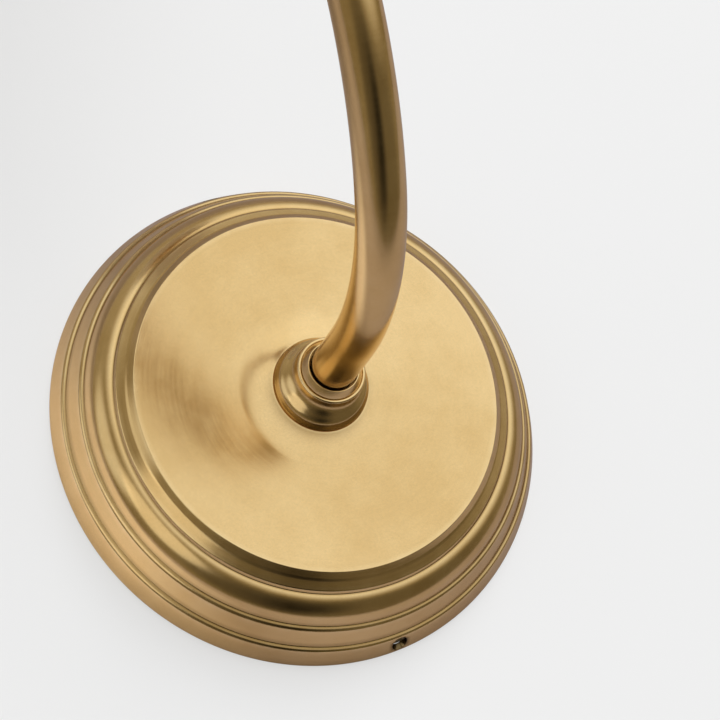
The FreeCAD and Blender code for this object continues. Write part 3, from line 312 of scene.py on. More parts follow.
plainValues = {
    "zinc_steel": {"colour": (0.62, 0.63, 0.64), "metallic": 1.0, "roughness": 0.32,
                   "marks": 1400.0},
    "black_steel": {"colour": (0.20, 0.16, 0.09), "metallic": 1.0, "roughness": 0.38},
    "earth_green": {"colour": (0.05, 0.26, 0.10), "metallic": 1.0, "roughness": 0.30},
    "tinned_copper": {"colour": (0.66, 0.62, 0.56), "metallic": 1.0, "roughness": 0.28},
    "nickel_shell": {"colour": (0.72, 0.69, 0.62), "metallic": 1.0, "roughness": 0.24},
    "moulded_core": {"colour": (0.030, 0.024, 0.020), "metallic": 0.0, "roughness": 0.28,
                     "coat": 0.3},
    "fibre_liner": {"colour": (0.42, 0.34, 0.24), "metallic": 0.0, "roughness": 0.7,
                    "marks": 2500.0, "depth": 0.00003},
    "nylon": {"colour": (0.72, 0.70, 0.64), "metallic": 0.0, "roughness": 0.45},
    "connector_orange": {"colour": (0.62, 0.20, 0.035), "metallic": 0.0, "roughness": 0.42},
    "lead_black": {"colour": (0.022, 0.022, 0.022), "metallic": 0.0, "roughness": 0.38,
                   "coat": 0.1},
    "lead_white": {"colour": (0.76, 0.76, 0.73), "metallic": 0.0, "roughness": 0.36,
                   "coat": 0.1},
    "lead_green": {"colour": (0.035, 0.27, 0.08), "metallic": 0.0, "roughness": 0.36,
                   "coat": 0.1},
}
opalValues = {
    "deep": (0.88, 0.87, 0.84),
    "pale": (0.93, 0.92, 0.90),
    "cloud": (18.0, 3.0, 0.5),
    "ripple": (45.0, 1.0, 0.4),
    "bump": (0.0002, 0.25),
    "roughness": (0.06, 0.12),
    "milk": 0.35,
    "reach": (0.012, 0.011, 0.010),
    "clear": 0.12,
}
turnedBrassValues = {**agedBrassValues, "pale": (0.86, 0.66, 0.34), "deep": (0.80, 0.58, 0.28)}

brassFinish("aged_brass", agedBrassValues)
brassFinish("turned_brass", turnedBrassValues)
for name, values in plainValues.items():
    plainFinish(name, **values)
opalFinish(opalValues)
for node, mesh in frame["nodes"].items():
    mesh.data.materials.clear()
    mesh.data.materials.append(finishes[slotOf[node]])
print("materials:", len(finishes))


# Mesh helpers

cornerValues = {
    "large": 6.0,
    "steps": (7.5, 2.5),            # degrees to a step of a small round and of a large one
    "worn": (12.0, 2.0),            # sharper turns in smaller rounds than these are marked: worn if convex, painted shade if concave
}


def newCorner(bm, corners, i, sense):
    # rounds corner i of an outline with an arc tangent to both of its sides
    vert, radius = corners[i]
    sides = [edge.other_vert(vert).co - vert.co for edge in vert.link_edges]
    turn = pi - sides[0].angle(sides[1])
    isLarge = radius > cornerValues["large"] * millimetre
    segments = max(4, round(degrees(turn) / cornerValues["steps"][isLarge]))
    made = bmesh.ops.bevel(bm, geom=[vert], offset=radius * tan(turn / 2), offset_type="OFFSET",
                           segments=segments, profile=0.5, affect="VERTICES", material=-1)
    wearAndShade = bm.verts.layers.float["wearAndShade"]
    leastTurn, widest = cornerValues["worn"]
    isWornOrShaded = degrees(turn) > leastTurn and radius < widest * millimetre
    # convex arcs are worn brighter; concave arcs get painted shade
    for arcVert in made["verts"]:
        arcVert[wearAndShade] = sense if isWornOrShaded else 0.0


def drawOutline(bm, points, spacing):
    # an outline in the plane of x (radius) and z (height), in millimetres: (radius, height, round)
    wearAndShade = bm.verts.layers.float.new("wearAndShade")
    verts = [bm.verts.new((point[0] * millimetre, 0, point[1] * millimetre)) for point in points]
    count = len(verts)
    isOpen = points[0][0] == 0 and points[-1][0] == 0
    for i in range(count - 1 if isOpen else count):
        bm.edges.new((verts[i], verts[(i + 1) % count]))
    flat = [Vector(point[:2]) for point in points]
    area = sum(flat[i - 1].cross(flat[i]) for i in range(count))
    corners = [(vert, (point[2] if len(point) > 2 else 0.0) * millimetre)
               for vert, point in zip(verts, points)]
    for i in range(count):
        if corners[i][1] > 0:
            bend = (flat[i] - flat[i - 1]).cross(flat[(i + 1) % count] - flat[i])
            newCorner(bm, corners, i, 1.0 if bend * area > 0 else -1.0)
    for edge in list(bm.edges):
        cuts = int(edge.calc_length() / (spacing * millimetre))
        if cuts:
            made = bmesh.ops.subdivide_edges(bm, edges=[edge], cuts=cuts)
            for item in made["geom_inner"]:
                if isinstance(item, bmesh.types.BMVert):
                    item[wearAndShade] = 0.0


def measureOutline(bm):
    # length along the outline, kept on each point before it is spun
    along = bm.verts.layers.float.new("along")
    ends = [vert for vert in bm.verts if len(vert.link_edges) == 1]
    vert = ends[0] if ends else bm.verts[:][0]
    travelled, previous = 0.0, None
    seen = set()
    while vert is not None:
        seen.add(vert)
        vert[along] = travelled
        nearest = [edge.other_vert(vert) for edge in vert.link_edges]
        following = [other for other in nearest if other not in seen]
        previous, vert = vert, (following[0] if following else None)
        if vert is not None:
            travelled += (vert.co - previous.co).length


def turned(points, steps=96, spacing=1.5):
    # spins an outline round z; a point's place round it and along the outline is its grain
    bm = bmesh.new()
    drawOutline(bm, points, spacing)
    bm.verts.ensure_lookup_table()
    measureOutline(bm)
    bmesh.ops.spin(bm, geom=bm.verts[:] + bm.edges[:], cent=(0, 0, 0), axis=(0, 0, 1), angle=2 * pi,
                   steps=steps, dvec=(0, 0, 0), use_merge=True)
    bmesh.ops.remove_doubles(bm, verts=bm.verts, dist=0.002 * millimetre)
    bmesh.ops.recalc_face_normals(bm, faces=bm.faces)
    along = bm.verts.layers.float["along"]
    grain = bm.verts.layers.float_vector.new("grain")
    for vert in bm.verts:
        vert[grain] = (vert.co.x, vert.co.y, vert[along])
    return bm


def pressed(bm, low, high, limit):
    # moves the points between two heights in to the radius that limit gives for their place
    for vert in bm.verts:
        x, y, z = vert.co / millimetre
        radius = hypot(x, y)
        if low <= z <= high and radius > 0:
            scale = min(1.0, limit(atan2(y, x), radius, z) / radius)
            vert.co.x *= scale
            vert.co.y *= scale


def hexagonal(bm, flats, low, high):
    pressed(bm, low, high, lambda angle, radius, z: flats / 2 / cos(angle % (pi / 3) - pi / 6))


def flute(bm, count, depth, low, high, inner, power):
    # presses grooves into the edge of a turned piece, fading out at both ends of the band
    fading = 0.4

    def limit(angle, radius, z):
        room = min(z - low, high - z, radius - inner)
        fade = max(0.0, min(1.0, room / fading))
        return radius - depth * fade * (0.5 - 0.5 * cos(count * angle)) ** power
    pressed(bm, low, high, limit)


def thread(bm, pitch, depth, low, high, inner, outer):
    # cuts a right-hand thread into the surface between two radii
    def limit(angle, radius, z):
        fade = min(1.0, (z - low) / pitch, (high - z) / pitch) if inner < radius < outer else 0.0
        return radius - depth * fade * (0.5 - 0.5 * cos(2 * pi * z / pitch - angle))
    pressed(bm, low, high, limit)


def addPiece(bm, name, node, place=None, sharp=40.0):
    # the finished piece stands in its place, rides on its node's body and takes its slot
    if place is not None:
        bmesh.ops.transform(bm, matrix=place, verts=bm.verts)
    for face in bm.faces:
        face.smooth = True
    for edge in bm.edges:
        if len(edge.link_faces) == 2:
            edge.smooth = edge.calc_face_angle() < radians(sharp)
    piece = addMesh(name, bm)
    piece.data.materials.append(finishes[slotOf[node]])
    weighted = piece.modifiers.new("flat faces keep their normals", "WEIGHTED_NORMAL")
    weighted.keep_sharp = True
    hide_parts(node)
    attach(piece, bodyOf[node])
    return piece


def carved(bm, tools, operation="DIFFERENCE"):
    # takes closed meshes away from a mesh, or joins them to it, and returns a new mesh
    holder = addMesh("carved", bm)
    items = []
    for cutter in tools:
        item = addMesh("cutter", cutter)
        modifier = holder.modifiers.new("carve", "BOOLEAN")
        modifier.object = item
        modifier.operation = operation
        modifier.solver = "EXACT"
        items.append(item)
    evaluated = holder.evaluated_get(bpy.context.evaluated_depsgraph_get())
    result = bmesh.new()
    result.from_mesh(evaluated.to_mesh())
    for item in [holder] + items:
        bpy.data.objects.remove(item)
    return result


def rod(radius, low, high, place, segments=48):
    # a closed cylinder or prism along its own z, in millimetres, for cutting
    bm = bmesh.new()
    bmesh.ops.create_cone(bm, cap_ends=True, segments=segments, radius1=radius * millimetre,
                          radius2=radius * millimetre, depth=(high - low) * millimetre)
    bmesh.ops.translate(bm, vec=(0, 0, (low + high) / 2 * millimetre), verts=bm.verts)
    bmesh.ops.transform(bm, matrix=place, verts=bm.verts)
    return bm


def slotted(width, length, low, high, place):
    # a closed bar with round ends, longer along its own y, for cutting slots and notches
    bm = rod(width / 2, low, high, Matrix(), segments=32)
    reach = (length - width) / 2 * millimetre
    for vert in bm.verts:
        vert.co.y += reach if vert.co.y > 0.0001 * millimetre else -reach
    bmesh.ops.transform(bm, matrix=place, verts=bm.verts)
    return bm


def block(size, centre):
    bm = bmesh.new()
    bmesh.ops.create_cube(bm, size=millimetre)
    bmesh.ops.scale(bm, vec=size, verts=bm.verts)
    bmesh.ops.translate(bm, vec=Vector(centre) * millimetre, verts=bm.verts)
    return bm


def folded(points, width, place, spacing=4.0):
    # a bent strip: its side view drawn in x and z, its width along y
    bm = bmesh.new()
    drawOutline(bm, points, spacing)
    bmesh.ops.translate(bm, vec=(0, -width / 2 * millimetre, 0), verts=bm.verts)
    face = bmesh.ops.contextual_create(bm, geom=bm.edges[:])["faces"]
    made = bmesh.ops.extrude_face_region(bm, geom=face)["geom"]
    raised = [item for item in made if isinstance(item, bmesh.types.BMVert)]
    bmesh.ops.translate(bm, vec=(0, width * millimetre, 0), verts=raised)
    bmesh.ops.transform(bm, matrix=place, verts=bm.verts)
    bmesh.ops.recalc_face_normals(bm, faces=bm.faces)
    return bm


# Canopy: spun shell with two stepped bands, a short cone and a disc that is a very shallow dish

canopyValues = {
    "radius": 70.0,
    "wall": 1.6,
    "inside": (1.096, 1.404),       # how far the leaning inner wall lies in and back
    "steps": [                      # radius, distance from the wall, round
        (67.5, 5.6, 1.2),
        (66.35, 6.0, 0.4),
        (63.6, 11.4, 1.4),
        (62.45, 11.8, 0.4),
        (60.05, 17.2, 7.5),
        (55.75, 18.1, 0.35),
        (55.2, 19.0, 0.7),
        (52.7, 20.3, 3.0),
        (51.05, 22.1, 0.35),
    ],
    "rimRound": 0.25,
    "dish": [                       # the disc, and the soft rise round the hub's foot
        (38.0, 21.75, 300.0), (18.2, 21.7, 24.0), (13.35, 23.6, 0.1), (13.05, 23.4),
        (13.05, 22.75),
    ],
    "top": 22.75,
    "floor": (22.0, 300.0),         # the inner face's corner: radius and round
    "hubHole": 7.6,
    "screwHole": 2.2,
    "screwHeight": 2.9,
    "drill": (60.0, 80.0),          # from and to, away from the axis
    "holeShade": (2.25, 67.4, -3.0, -2.0),   # within, mouth beyond, painted shade inside, painted shade at the mouth
}


def addCanopy(values):
    across, back = values["inside"]
    floorEdge, floorRound = values["floor"]
    top, rimRound = values["top"], values["rimRound"]
    floor = top - values["wall"]
    inside = [(radius - across, height - back, bend)
              for radius, height, bend in reversed(values["steps"])]
    outline = [(values["radius"], 0.0, rimRound)] + values["steps"] + values["dish"]
    outline += [(values["hubHole"], top), (values["hubHole"], floor)]
    outline += [(floorEdge, floor, floorRound)]
    outline += inside + [(values["radius"] - values["wall"], 0.0, rimRound)]
    bm = turned(outline, steps=256)
    drills = [rod(values["screwHole"], *values["drill"],
                  lift(values["screwHeight"]) @ quarter("X", side)) for side in (1, -1)]
    bm = carved(bm, drills)
    wearAndShade = bm.verts.layers.float["wearAndShade"]
    reach, mouth, deepShade, mouthShade = values["holeShade"]
    for vert in bm.verts:           # painted shade: the drilled holes' walls are made near-black
        away = hypot(vert.co.x, vert.co.z - values["screwHeight"] * millimetre)
        if away < reach * millimetre:
            vert[wearAndShade] = deepShade if abs(vert.co.y) < mouth * millimetre else mouthShade
    addPiece(bm, "canopy_spun", "canopy", frontPlace)


addCanopy(canopyValues)


# Hub: bell-shaped neck with a lipped mouth, and the collar that rises from it

hubValues = {
    "outline": [
        (5.0, 17.25, 0.3), (7.5, 17.25, 0.4), (7.5, 22.75), (13.0, 22.75), (13.3, 26.6, 3.6),
        (8.2, 29.9, 5.4), (8.2, 33.2, 0.3), (9.55, 33.2, 0.8), (9.55, 34.85, 0.7),
        (8.5, 34.85, 0.3), (8.5, 33.35), (7.4, 33.35), (7.4, 27.65), (5.0, 27.65),
    ],
    "foot": (12.4, 24.9, -0.85),                    # outside this radius, below this height: painted shade where the hub meets the canopy
    "thread": (1.0, 0.35, 17.4, 22.4, 7.0, 8.0),    # pitch, depth, from, to, between radii
}
collarValues = {
    "outline": [
        (6.8, 27.95), (7.3, 27.95), (7.3, 33.35), (8.4, 33.35), (8.4, 34.85, 0.3),
        (7.1, 36.9, 0.12), (6.8, 36.9, 0.1),
    ],
}


def addHub(values, collar):
    bm = turned(values["outline"], steps=128, spacing=0.4)
    thread(bm, *values["thread"])
    wearAndShade = bm.verts.layers.float["wearAndShade"]
    radius, height, footShade = values["foot"]
    # painted shade on the hub's foot where it meets the canopy
    for vert in bm.verts:
        if vert.co.xy.length > radius * millimetre and vert.co.z < height * millimetre:
            vert[wearAndShade] = footShade
    addPiece(bm, "hub_turned", "hub", frontPlace)
    addPiece(turned(collar["outline"], steps=128), "hub_collar_turned", "hub_collar", frontPlace)


addHub(hubValues, collarValues)
print("canopy and hub built")


# Arm: one tube, straight out of the hub, then up in two bends, with the leads inside it

armValues = {
    "radius": 6.35,
    "wall": 1.2,
    "start": 28.45,
    "moves": [                      # a run is a length, a bend a radius and degrees
        ("run", 25.95), ("bend", 77.0, 41.7), ("bend", 134.0, 48.3), ("run", 16.0),
    ],
}
armLeadValues = {
    "radius": 0.95,
    "aside": 1.15,
    "start": 9.65,
    "moves": [
        ("run", 44.75), ("bend", 77.0, 41.7), ("bend", 134.0, 48.3), ("run", 22.98),
        ("fan", 11.9, 60.7), ("run", 1.48), ("fan", 11.9, -60.7), ("run", 5.53),
    ],
}

longestStep = {"run": 4.0, "bend": 0.8, "fan": 2.5}     # millimetres, degrees, degrees


def swept(radius, segments, aside, start, moves, fan=0.0):
    # carries a ring out from the wall along the arm's line; fan turns a lead's last bends aside
    bm = bmesh.new()
    along = bm.verts.layers.float.new("along")
    bm.verts.layers.float.new("wearAndShade")
    grain = bm.verts.layers.float_vector.new("grain")
    place = Vector((aside, -start, 0)) * millimetre
    ring = bmesh.ops.create_circle(bm, segments=segments, radius=radius * millimetre,
                                   matrix=Matrix.Translation(place) @ quarter("X"))["verts"]
    for vert in ring:
        vert[grain] = (vert.co.x, vert.co.z, 0)
    last = ring + list({edge for vert in ring for edge in vert.link_edges})
    heading, travelled = 0.0, start * millimetre

    def carry(steps, length, **motion):
        nonlocal last, travelled
        for _ in range(steps):
            made = bmesh.ops.spin(bm, geom=last, axis=(1, 0, 0), steps=1, use_merge=False, **motion)
            last = made["geom_last"]
            travelled += length * millimetre / steps
            for item in last:
                if isinstance(item, bmesh.types.BMVert):
                    item[along] = travelled
                    item[grain] = (item[grain][0], item[grain][1], travelled)

    for kind, size, *degreesTurned in moves:
        if kind == "run":
            steps = max(1, round(size / longestStep[kind]))
            run = Vector((0, -cos(heading), sin(heading))) * size * millimetre
            carry(steps, size, cent=(0, 0, 0), angle=0, dvec=run / steps)
            place += run
        else:
            bend = size * millimetre
            turn = radians(*degreesTurned) * (fan if kind == "fan" else 1.0)
            inward = Vector((0, sin(heading), cos(heading))) * (bend if turn > 0 else -bend)
            steps = max(4, round(degrees(abs(turn)) / longestStep[kind]))
            carry(steps, size * abs(turn), cent=place + inward, angle=-turn / steps,
                  dvec=(0, 0, 0))
            heading += turn
            outward = Vector((0, sin(heading), cos(heading))) * (bend if turn > 0 else -bend)
            place += inward - outward
    bmesh.ops.recalc_face_normals(bm, faces=bm.faces)
    return bm


def addArm(values, leads):
    bm = swept(values["radius"], 96, 0.0, values["start"], values["moves"])
    piece = addPiece(bm, "arm_tube_bent", "arm_tube")
    wall = piece.modifiers.new("wall", "SOLIDIFY")
    wall.thickness = values["wall"] * millimetre
    wall.offset = -1.0
    piece.modifiers.move(1, 0)
    for node, side in (("arm_lead_live", 1), ("arm_lead_neutral", -1)):
        bm = swept(leads["radius"], 20, side * leads["aside"], leads["start"], leads["moves"],
                   fan=-side)
        bmesh.ops.holes_fill(bm, edges=bm.edges, sides=0)
        bmesh.ops.recalc_face_normals(bm, faces=bm.faces)
        addPiece(bm, node + "_insulated", node)


addArm(armValues, armLeadValues)
print("arm and its leads built")


# Swivel: threaded nipple, washers, nuts and the eyelet that guards the leads

swivelValues = {
    "arm_nipple": {
        "outline": [(3.2, 10.65, 0.3), (4.95, 10.65, 0.4), (4.95, 28.45), (5.1, 28.45),
                    (5.1, 38.45, 0.3), (3.2, 38.45, 0.3)],
        "thread": (1.0, 0.3, 10.9, 20.0, 4.8, 5.0),
    },
    "lead_bushing": {
        "outline": [(2.45, 9.65, 0.35), (5.4, 9.65, 0.35), (5.4, 10.65, 0.1), (3.1, 10.65),
                    (3.1, 14.65, 0.2), (2.45, 14.65, 0.2)],
    },
    "thrust_washer": {
        "outline": [(5.05, 27.65, 0.1), (6.35, 27.65, 0.15), (6.35, 28.45, 0.15),
                    (5.05, 28.45, 0.1)],
    },
    "spring_washer": {
        "outline": [(5.15, 17.25), (8.2, 16.65, 0.1), (8.2, 16.15, 0.1), (5.15, 16.75)],
    },
    "hub_nut": {
        "outline": [(7.55, 17.55, 0.4), (10.3, 17.55), (12.12, 18.5), (12.12, 19.6), (10.3, 20.55),
                    (7.55, 20.55, 0.4)],
        "flats": 21.0,
    },
    "arm_nut": {
        "outline": [(5.0, 11.15, 0.4), (6.9, 11.15), (8.08, 11.8), (8.08, 14.5), (6.9, 15.15),
                    (5.0, 15.15, 0.4)],
        "flats": 14.0,
    },
    "stop_pin": {
        "outline": [(0, 14.85), (1.5, 14.85, 0.35), (1.5, 21.15), (0, 21.15)],
        "place": (0, -14.0),
    },
}


def addSwivel(values):
    for node, part in values.items():
        bm = turned(part["outline"], steps=96, spacing=0.3 if "thread" in part else 1.5)
        if "thread" in part:
            thread(bm, *part["thread"])
        if "flats" in part:
            hexagonal(bm, part["flats"], 0.0, 100.0)
        right, up = part.get("place", (0, 0))
        place = Matrix.Translation(Vector((right, 0, up)) * millimetre) @ frontPlace
        addPiece(bm, node + "_turned", node, place, sharp=25.0)


addSwivel(swivelValues)


# Stop washer and earth tag: flat stampings, each a disc with a tail and softened edges

stampingValues = {
    "stop_washer": {"radius": 8.6, "bore": 5.05, "tail": 16.0, "width": 4.0, "from": 15.15,
                    "to": 16.15, "turn": 0.0},
    "earth_tag": {"radius": 11.5, "bore": 7.6, "tail": 17.5, "width": 5.0, "from": 20.55,
                  "to": 21.15, "turn": -135.0},
}
stampedEdge = 0.12


def addStampings(values):
    for node, part in values.items():
        low, high = part["from"], part["to"]
        bm = turned([(part["bore"], low, stampedEdge), (part["radius"], low, stampedEdge),
                     (part["radius"], high, stampedEdge), (part["bore"], high, stampedEdge)])
        length = part["tail"] - part["bore"] - 1.0
        tail = block((part["width"], length, high - low),
                     (0, part["tail"] - length / 2, (low + high) / 2))
        turn = Matrix.Rotation(radians(part["turn"]), 4, "Z")
        bmesh.ops.bevel(tail, geom=tail.edges[:], offset=stampedEdge * millimetre,
                        offset_type="OFFSET", segments=2, profile=0.5, affect="EDGES", material=-1)
        addPiece(carved(bm, [tail], "UNION"), node + "_stamped", node, frontPlace @ turn)


addStampings(stampingValues)


# Crossbar: a folded steel strip with two slots, a centre hole, tapped ears and an earth screw

barValues = {
    "width": 22.0,
    "side": [
        (-61.6, 8.2, 0.3), (-61.6, 0.0, 2.6), (61.6, 0.0, 2.6), (61.6, 8.2, 0.3),
        (60.0, 8.2, 0.3), (60.0, 1.6, 1.0), (-60.0, 1.6, 1.0), (-60.0, 8.2, 0.3),
    ],
    "centreHole": 5.2,
    "slots": (4.6, 16.0, 39.75),    # width, length, distance of their middles from the centre
    "earthHole": (1.85, 19.0),      # radius, distance below the centre
    "taps": (2.05, 2.9),            # radius, distance from the wall
    "softEdge": 0.15,
}
earthScrewValues = {
    "outline": [(0, 0), (1.8, 0, 0.3), (1.8, 1.6), (4.2, 1.6, 0.1), (4.2, 2.1, 0.2), (3.46, 2.1),
                (3.46, 4.1), (2.9, 4.5), (0, 4.5)],
    "flats": (6.0, 2.2, 5.0),           # across, from, to
    "thread": (0.7, 0.2, 0.1, 1.6, 1.5, 1.9),
    "slot": (9.0, 0.9, 1.6),
    "drop": 19.0,
}


def addCrossbar(values, screw):
    upright = Matrix(((0, -1, 0, 0), (0, 0, -1, 0), (1, 0, 0, 0), (0, 0, 0, 1)))
    bm = folded(values["side"], values["width"], upright)
    width, length, middleOf = values["slots"]
    radius, drop = values["earthHole"]
    tap, height = values["taps"]
    tools = [rod(values["centreHole"], -3, 3, frontPlace),
             rod(radius, -3, 3, lift(-drop) @ frontPlace),
             rod(tap, -70, 70, Matrix.Translation((0, -height * millimetre, 0)))]
    for side in (1, -1):
        tools.append(slotted(width, length, -3, 3, lift(side * middleOf) @ frontPlace))
    piece = addPiece(carved(bm, tools), "crossbar_folded", "mounting_bar")
    edge = piece.modifiers.new("soft edges", "BEVEL")
    edge.width = values["softEdge"] * millimetre
    edge.segments = 2
    edge.limit_method = "ANGLE"
    edge.angle_limit = radians(50)
    piece.modifiers.move(1, 0)
    bm = turned(screw["outline"], steps=96, spacing=0.5)
    hexagonal(bm, *screw["flats"])
    thread(bm, *screw["thread"])
    bm = carved(bm, [block(screw["slot"], (0, 0, 4.5))])
    addPiece(bm, "earth_screw_turned", "earth_screw", lift(-screw["drop"]) @ frontPlace, sharp=25.0)


addCrossbar(barValues, earthScrewValues)


# Set screws: two in the canopy's rim and one in the socket cap, each with a hexagon socket

setScrewValues = {
    "canopy": {"radius": 2.0, "length": 10.3, "socket": 2.0, "depth": 2.2, "chamfer": 0.4,
               "pitch": 0.7},
    "cap": {"radius": 1.5, "length": 3.0, "socket": 1.5, "depth": 1.5, "chamfer": 0.3,
            "pitch": 0.5},
}


def setScrew(values):
    radius, length, chamfer = values["radius"], values["length"], values["chamfer"]
    bm = turned([(0, 0), (radius - chamfer, 0), (radius, chamfer), (radius, length - chamfer),
                 (radius - chamfer, length), (0, length)], steps=96, spacing=values["pitch"] / 5)
    thread(bm, values["pitch"], 0.25, 0.1, length - chamfer, radius - 0.2, radius + 0.1)
    socket = rod(values["socket"] / 2 / cos(pi / 6), length - values["depth"], length + 1,
                 Matrix(), segments=6)
    return carved(bm, [socket])


def addSetScrews(values):
    for node, side in (("canopy_screw_lower", -1), ("canopy_screw_upper", 1)):
        low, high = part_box(node)
        foot = Vector((0, (low.y + high.y) / 2, high.z if side < 0 else low.z))
        place = Matrix.Translation(foot) @ (quarter("X", 2) if side < 0 else Matrix())
        addPiece(setScrew(values["canopy"]), node + "_turned", node, place, sharp=30.0)
    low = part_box("cap_screw")[0]
    foot = Vector((0, low.y, middle("cap_screw").z))
    addPiece(setScrew(values["cap"]), "cap_screw_turned", "cap_screw",
             Matrix.Translation(foot) @ quarter("X", -1), sharp=30.0)


addSetScrews(setScrewValues)
print("swivel, crossbar and set screws built")


# Leads behind the canopy, and the twist-on connectors at their ends

leadValues = {
    "radius": 0.95,
    "supplyRoute": [                # aside, out of the wall, up
        (1.15, 9.65, 0), (1.15, 4.5, 0), (16.5, 4.5, 0), (28.0, 8.4, -2.4), (33.0, 10.5, -9.6),
        (33.0, 10.5, -22.0),
    ],
    "earthRoute": [
        (10.36, 19.6, -10.36), (19.4, 18.6, -17.4), (23.4, 11.0, -23.0), (16.4, 3.2, -20.0),
        (4.2, 3.2, -19.0),
    ],
}
connectorValues = {
    "outline": [(0, 6), (1.25, 6), (1.25, 1.4), (5.0, 0, 0.3), (6.2, 0, 0.35), (6.2, 6, 3.2),
                (3.2, 17, 1.4), (0, 17)],
    "flutes": (8, 0.55, 0.4, 6.4, 5.4, 2.0),        # count, depth, from, to, outside of, sharpness
    "place": (33.0, 10.5, -16.0),
}


def addLead(node, route, side, radius):
    curve = bpy.data.curves.new(node + "_insulated", "CURVE")
    curve.dimensions = "3D"
    curve.bevel_depth = radius * millimetre
    curve.bevel_resolution = 6
    curve.resolution_u = 16
    curve.use_fill_caps = True
    spline = curve.splines.new("NURBS")
    spline.points.add(len(route) - 1)
    for point, (right, out, up) in zip(spline.points, route):
        point.co = (side * right * millimetre, -out * millimetre, up * millimetre, 1)
    spline.order_u = 3
    spline.use_endpoint_u = True
    piece = addObject(node + "_insulated", curve)
    curve.materials.append(finishes[slotOf[node]])
    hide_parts(node)
    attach(piece, bodyOf[node])


def addWiring(values, connector):
    addLead("canopy_lead_live", values["supplyRoute"], 1, values["radius"])
    addLead("canopy_lead_neutral", values["supplyRoute"], -1, values["radius"])
    addLead("earth_lead", values["earthRoute"], 1, values["radius"])
    right, out, up = connector["place"]
    for node, side in (("connector_live", 1), ("connector_neutral", -1)):
        bm = turned(connector["outline"], steps=96, spacing=0.7)
        flute(bm, *connector["flutes"])
        place = Matrix.Translation(Vector((side * right, -out, up)) * millimetre) @ quarter("X", 2)
        addPiece(bm, node + "_moulded", node, place)


addWiring(leadValues, connectorValues)
print("leads and connectors built")


# Lampholder: ferrule, cap, shell with its insulating sleeve, and the core with its contacts

caseValues = {
    "arm_ferrule": {
        "outline": [(3.2, -10, 0.2), (5.1, -10, 0.3), (5.1, 0), (8.8, 0, 2.0), (8.8, 2.3, 0.15),
                    (8.6, 2.5, 0.15), (8.8, 2.7, 0.15), (8.8, 5, 2.0), (4.95, 5),
                    (4.95, 13, 0.3), (3.2, 13, 0.2)],
    },
    "socket_cap": {
        "outline": [(5.0, 5), (7.6, 5, 0.25), (7.6, 13, 2.0), (18.3, 15, 6.5), (18.3, 25.4, 0.3),
                    (17.95, 25.9, 0.3), (18.3, 26.4, 0.3), (18.3, 29, 0.3), (17.5, 29, 0.2),
                    (17.5, 15.8, 5.7), (6.8, 13.8, 2.0), (5.0, 13.8)],
        "screwHole": (1.55, 4.0, 9.0),      # radius, from and to, away from the axis
        "screwHeight": 9.0,
    },
    "socket_shell": {
        "outline": [(17.4, 24, 0.1), (17.4, 44.2, 0.4), (17.0, 44.8, 0.4), (17.4, 45.4, 0.4),
                    (17.4, 47.0, 0.4), (17.0, 47.6, 0.4), (17.4, 48.2, 0.4), (17.4, 56, 0.35),
                    (16.5, 56), (16.5, 70, 0.15), (16.0, 70, 0.15), (16.0, 55.5), (16.9, 55.5),
                    (16.9, 24)],
        "thread": (2.4, 0.3, 56.6, 69.6, 15.8, 16.7),
        "notch": 41.5,
    },
    "socket_liner": {
        "outline": [(15.3, 26), (15.9, 26), (15.9, 69.7, 0.15), (15.3, 69.7, 0.15)],
        "notch": 41.5,
    },
}
notchValues = {"width": 7.0, "middle": 20.0, "cut": (10.0, 20.0)}   # cut: away from the axis
coreValues = {
    "outline": [(0, 28), (14.9, 28, 0.6), (14.9, 47, 0.5), (13.9, 47, 0.2), (13.9, 45), (0, 45)],
    "stemBore": (2.2, 38.0),
    "flats": (8.0, 6.0, 12.4, 28.0, 24.6),      # width, depth, from the axis, middle, height
}
screwShellValues = {
    "outline": [(10.0, 45, 0.2), (13.6, 45, 3.1), (13.6, 69, 0.2), (13.1, 69, 0.2),
                (13.1, 45.5, 2.6), (10.0, 45.5, 0.2)],
    "thread": (3.63, 0.75, 48.0, 68.4, 12.5, 13.8),
}
terminalValues = {
    "outline": [(0, 7.9), (1.4, 7.9, 0.2), (1.4, 12.4), (3.0, 12.4, 0.1), (3.0, 14.0, 0.4),
                (0, 14.0)],
    "top": 14.0,
    "slot": (6.4, 0.7, 1.6),
    "height": 37.0,
}
contactValues = {
    "side": [(-8.0, 0), (-2.0, 0, 1.0), (1.0, 2.1, 1.0), (3.5, 2.1, 0.2), (3.5, 2.6, 0.2),
             (0.5, 2.6, 1.5), (-2.25, 0.5, 1.0), (-8.0, 0.5)],
    "width": 5.0,
    "height": 45.0,
}


def addCase(values):
    for node, part in values.items():
        bm = turned(part["outline"], steps=144, spacing=0.45 if "thread" in part else 1.5)
        if "thread" in part:
            thread(bm, *part["thread"])
        if "screwHole" in part:
            place = lift(part["screwHeight"]) @ quarter("X", -1)
            bm = carved(bm, [rod(*part["screwHole"], place, segments=32)])
        if "notch" in part:
            tall = 2 * (part["notch"] - notchValues["middle"])
            place = lift(notchValues["middle"]) @ quarter("Z") @ quarter("X")
            bm = carved(bm, [slotted(notchValues["width"], tall, *notchValues["cut"], place)])
        addPiece(bm, node + "_turned", node, headPlace)


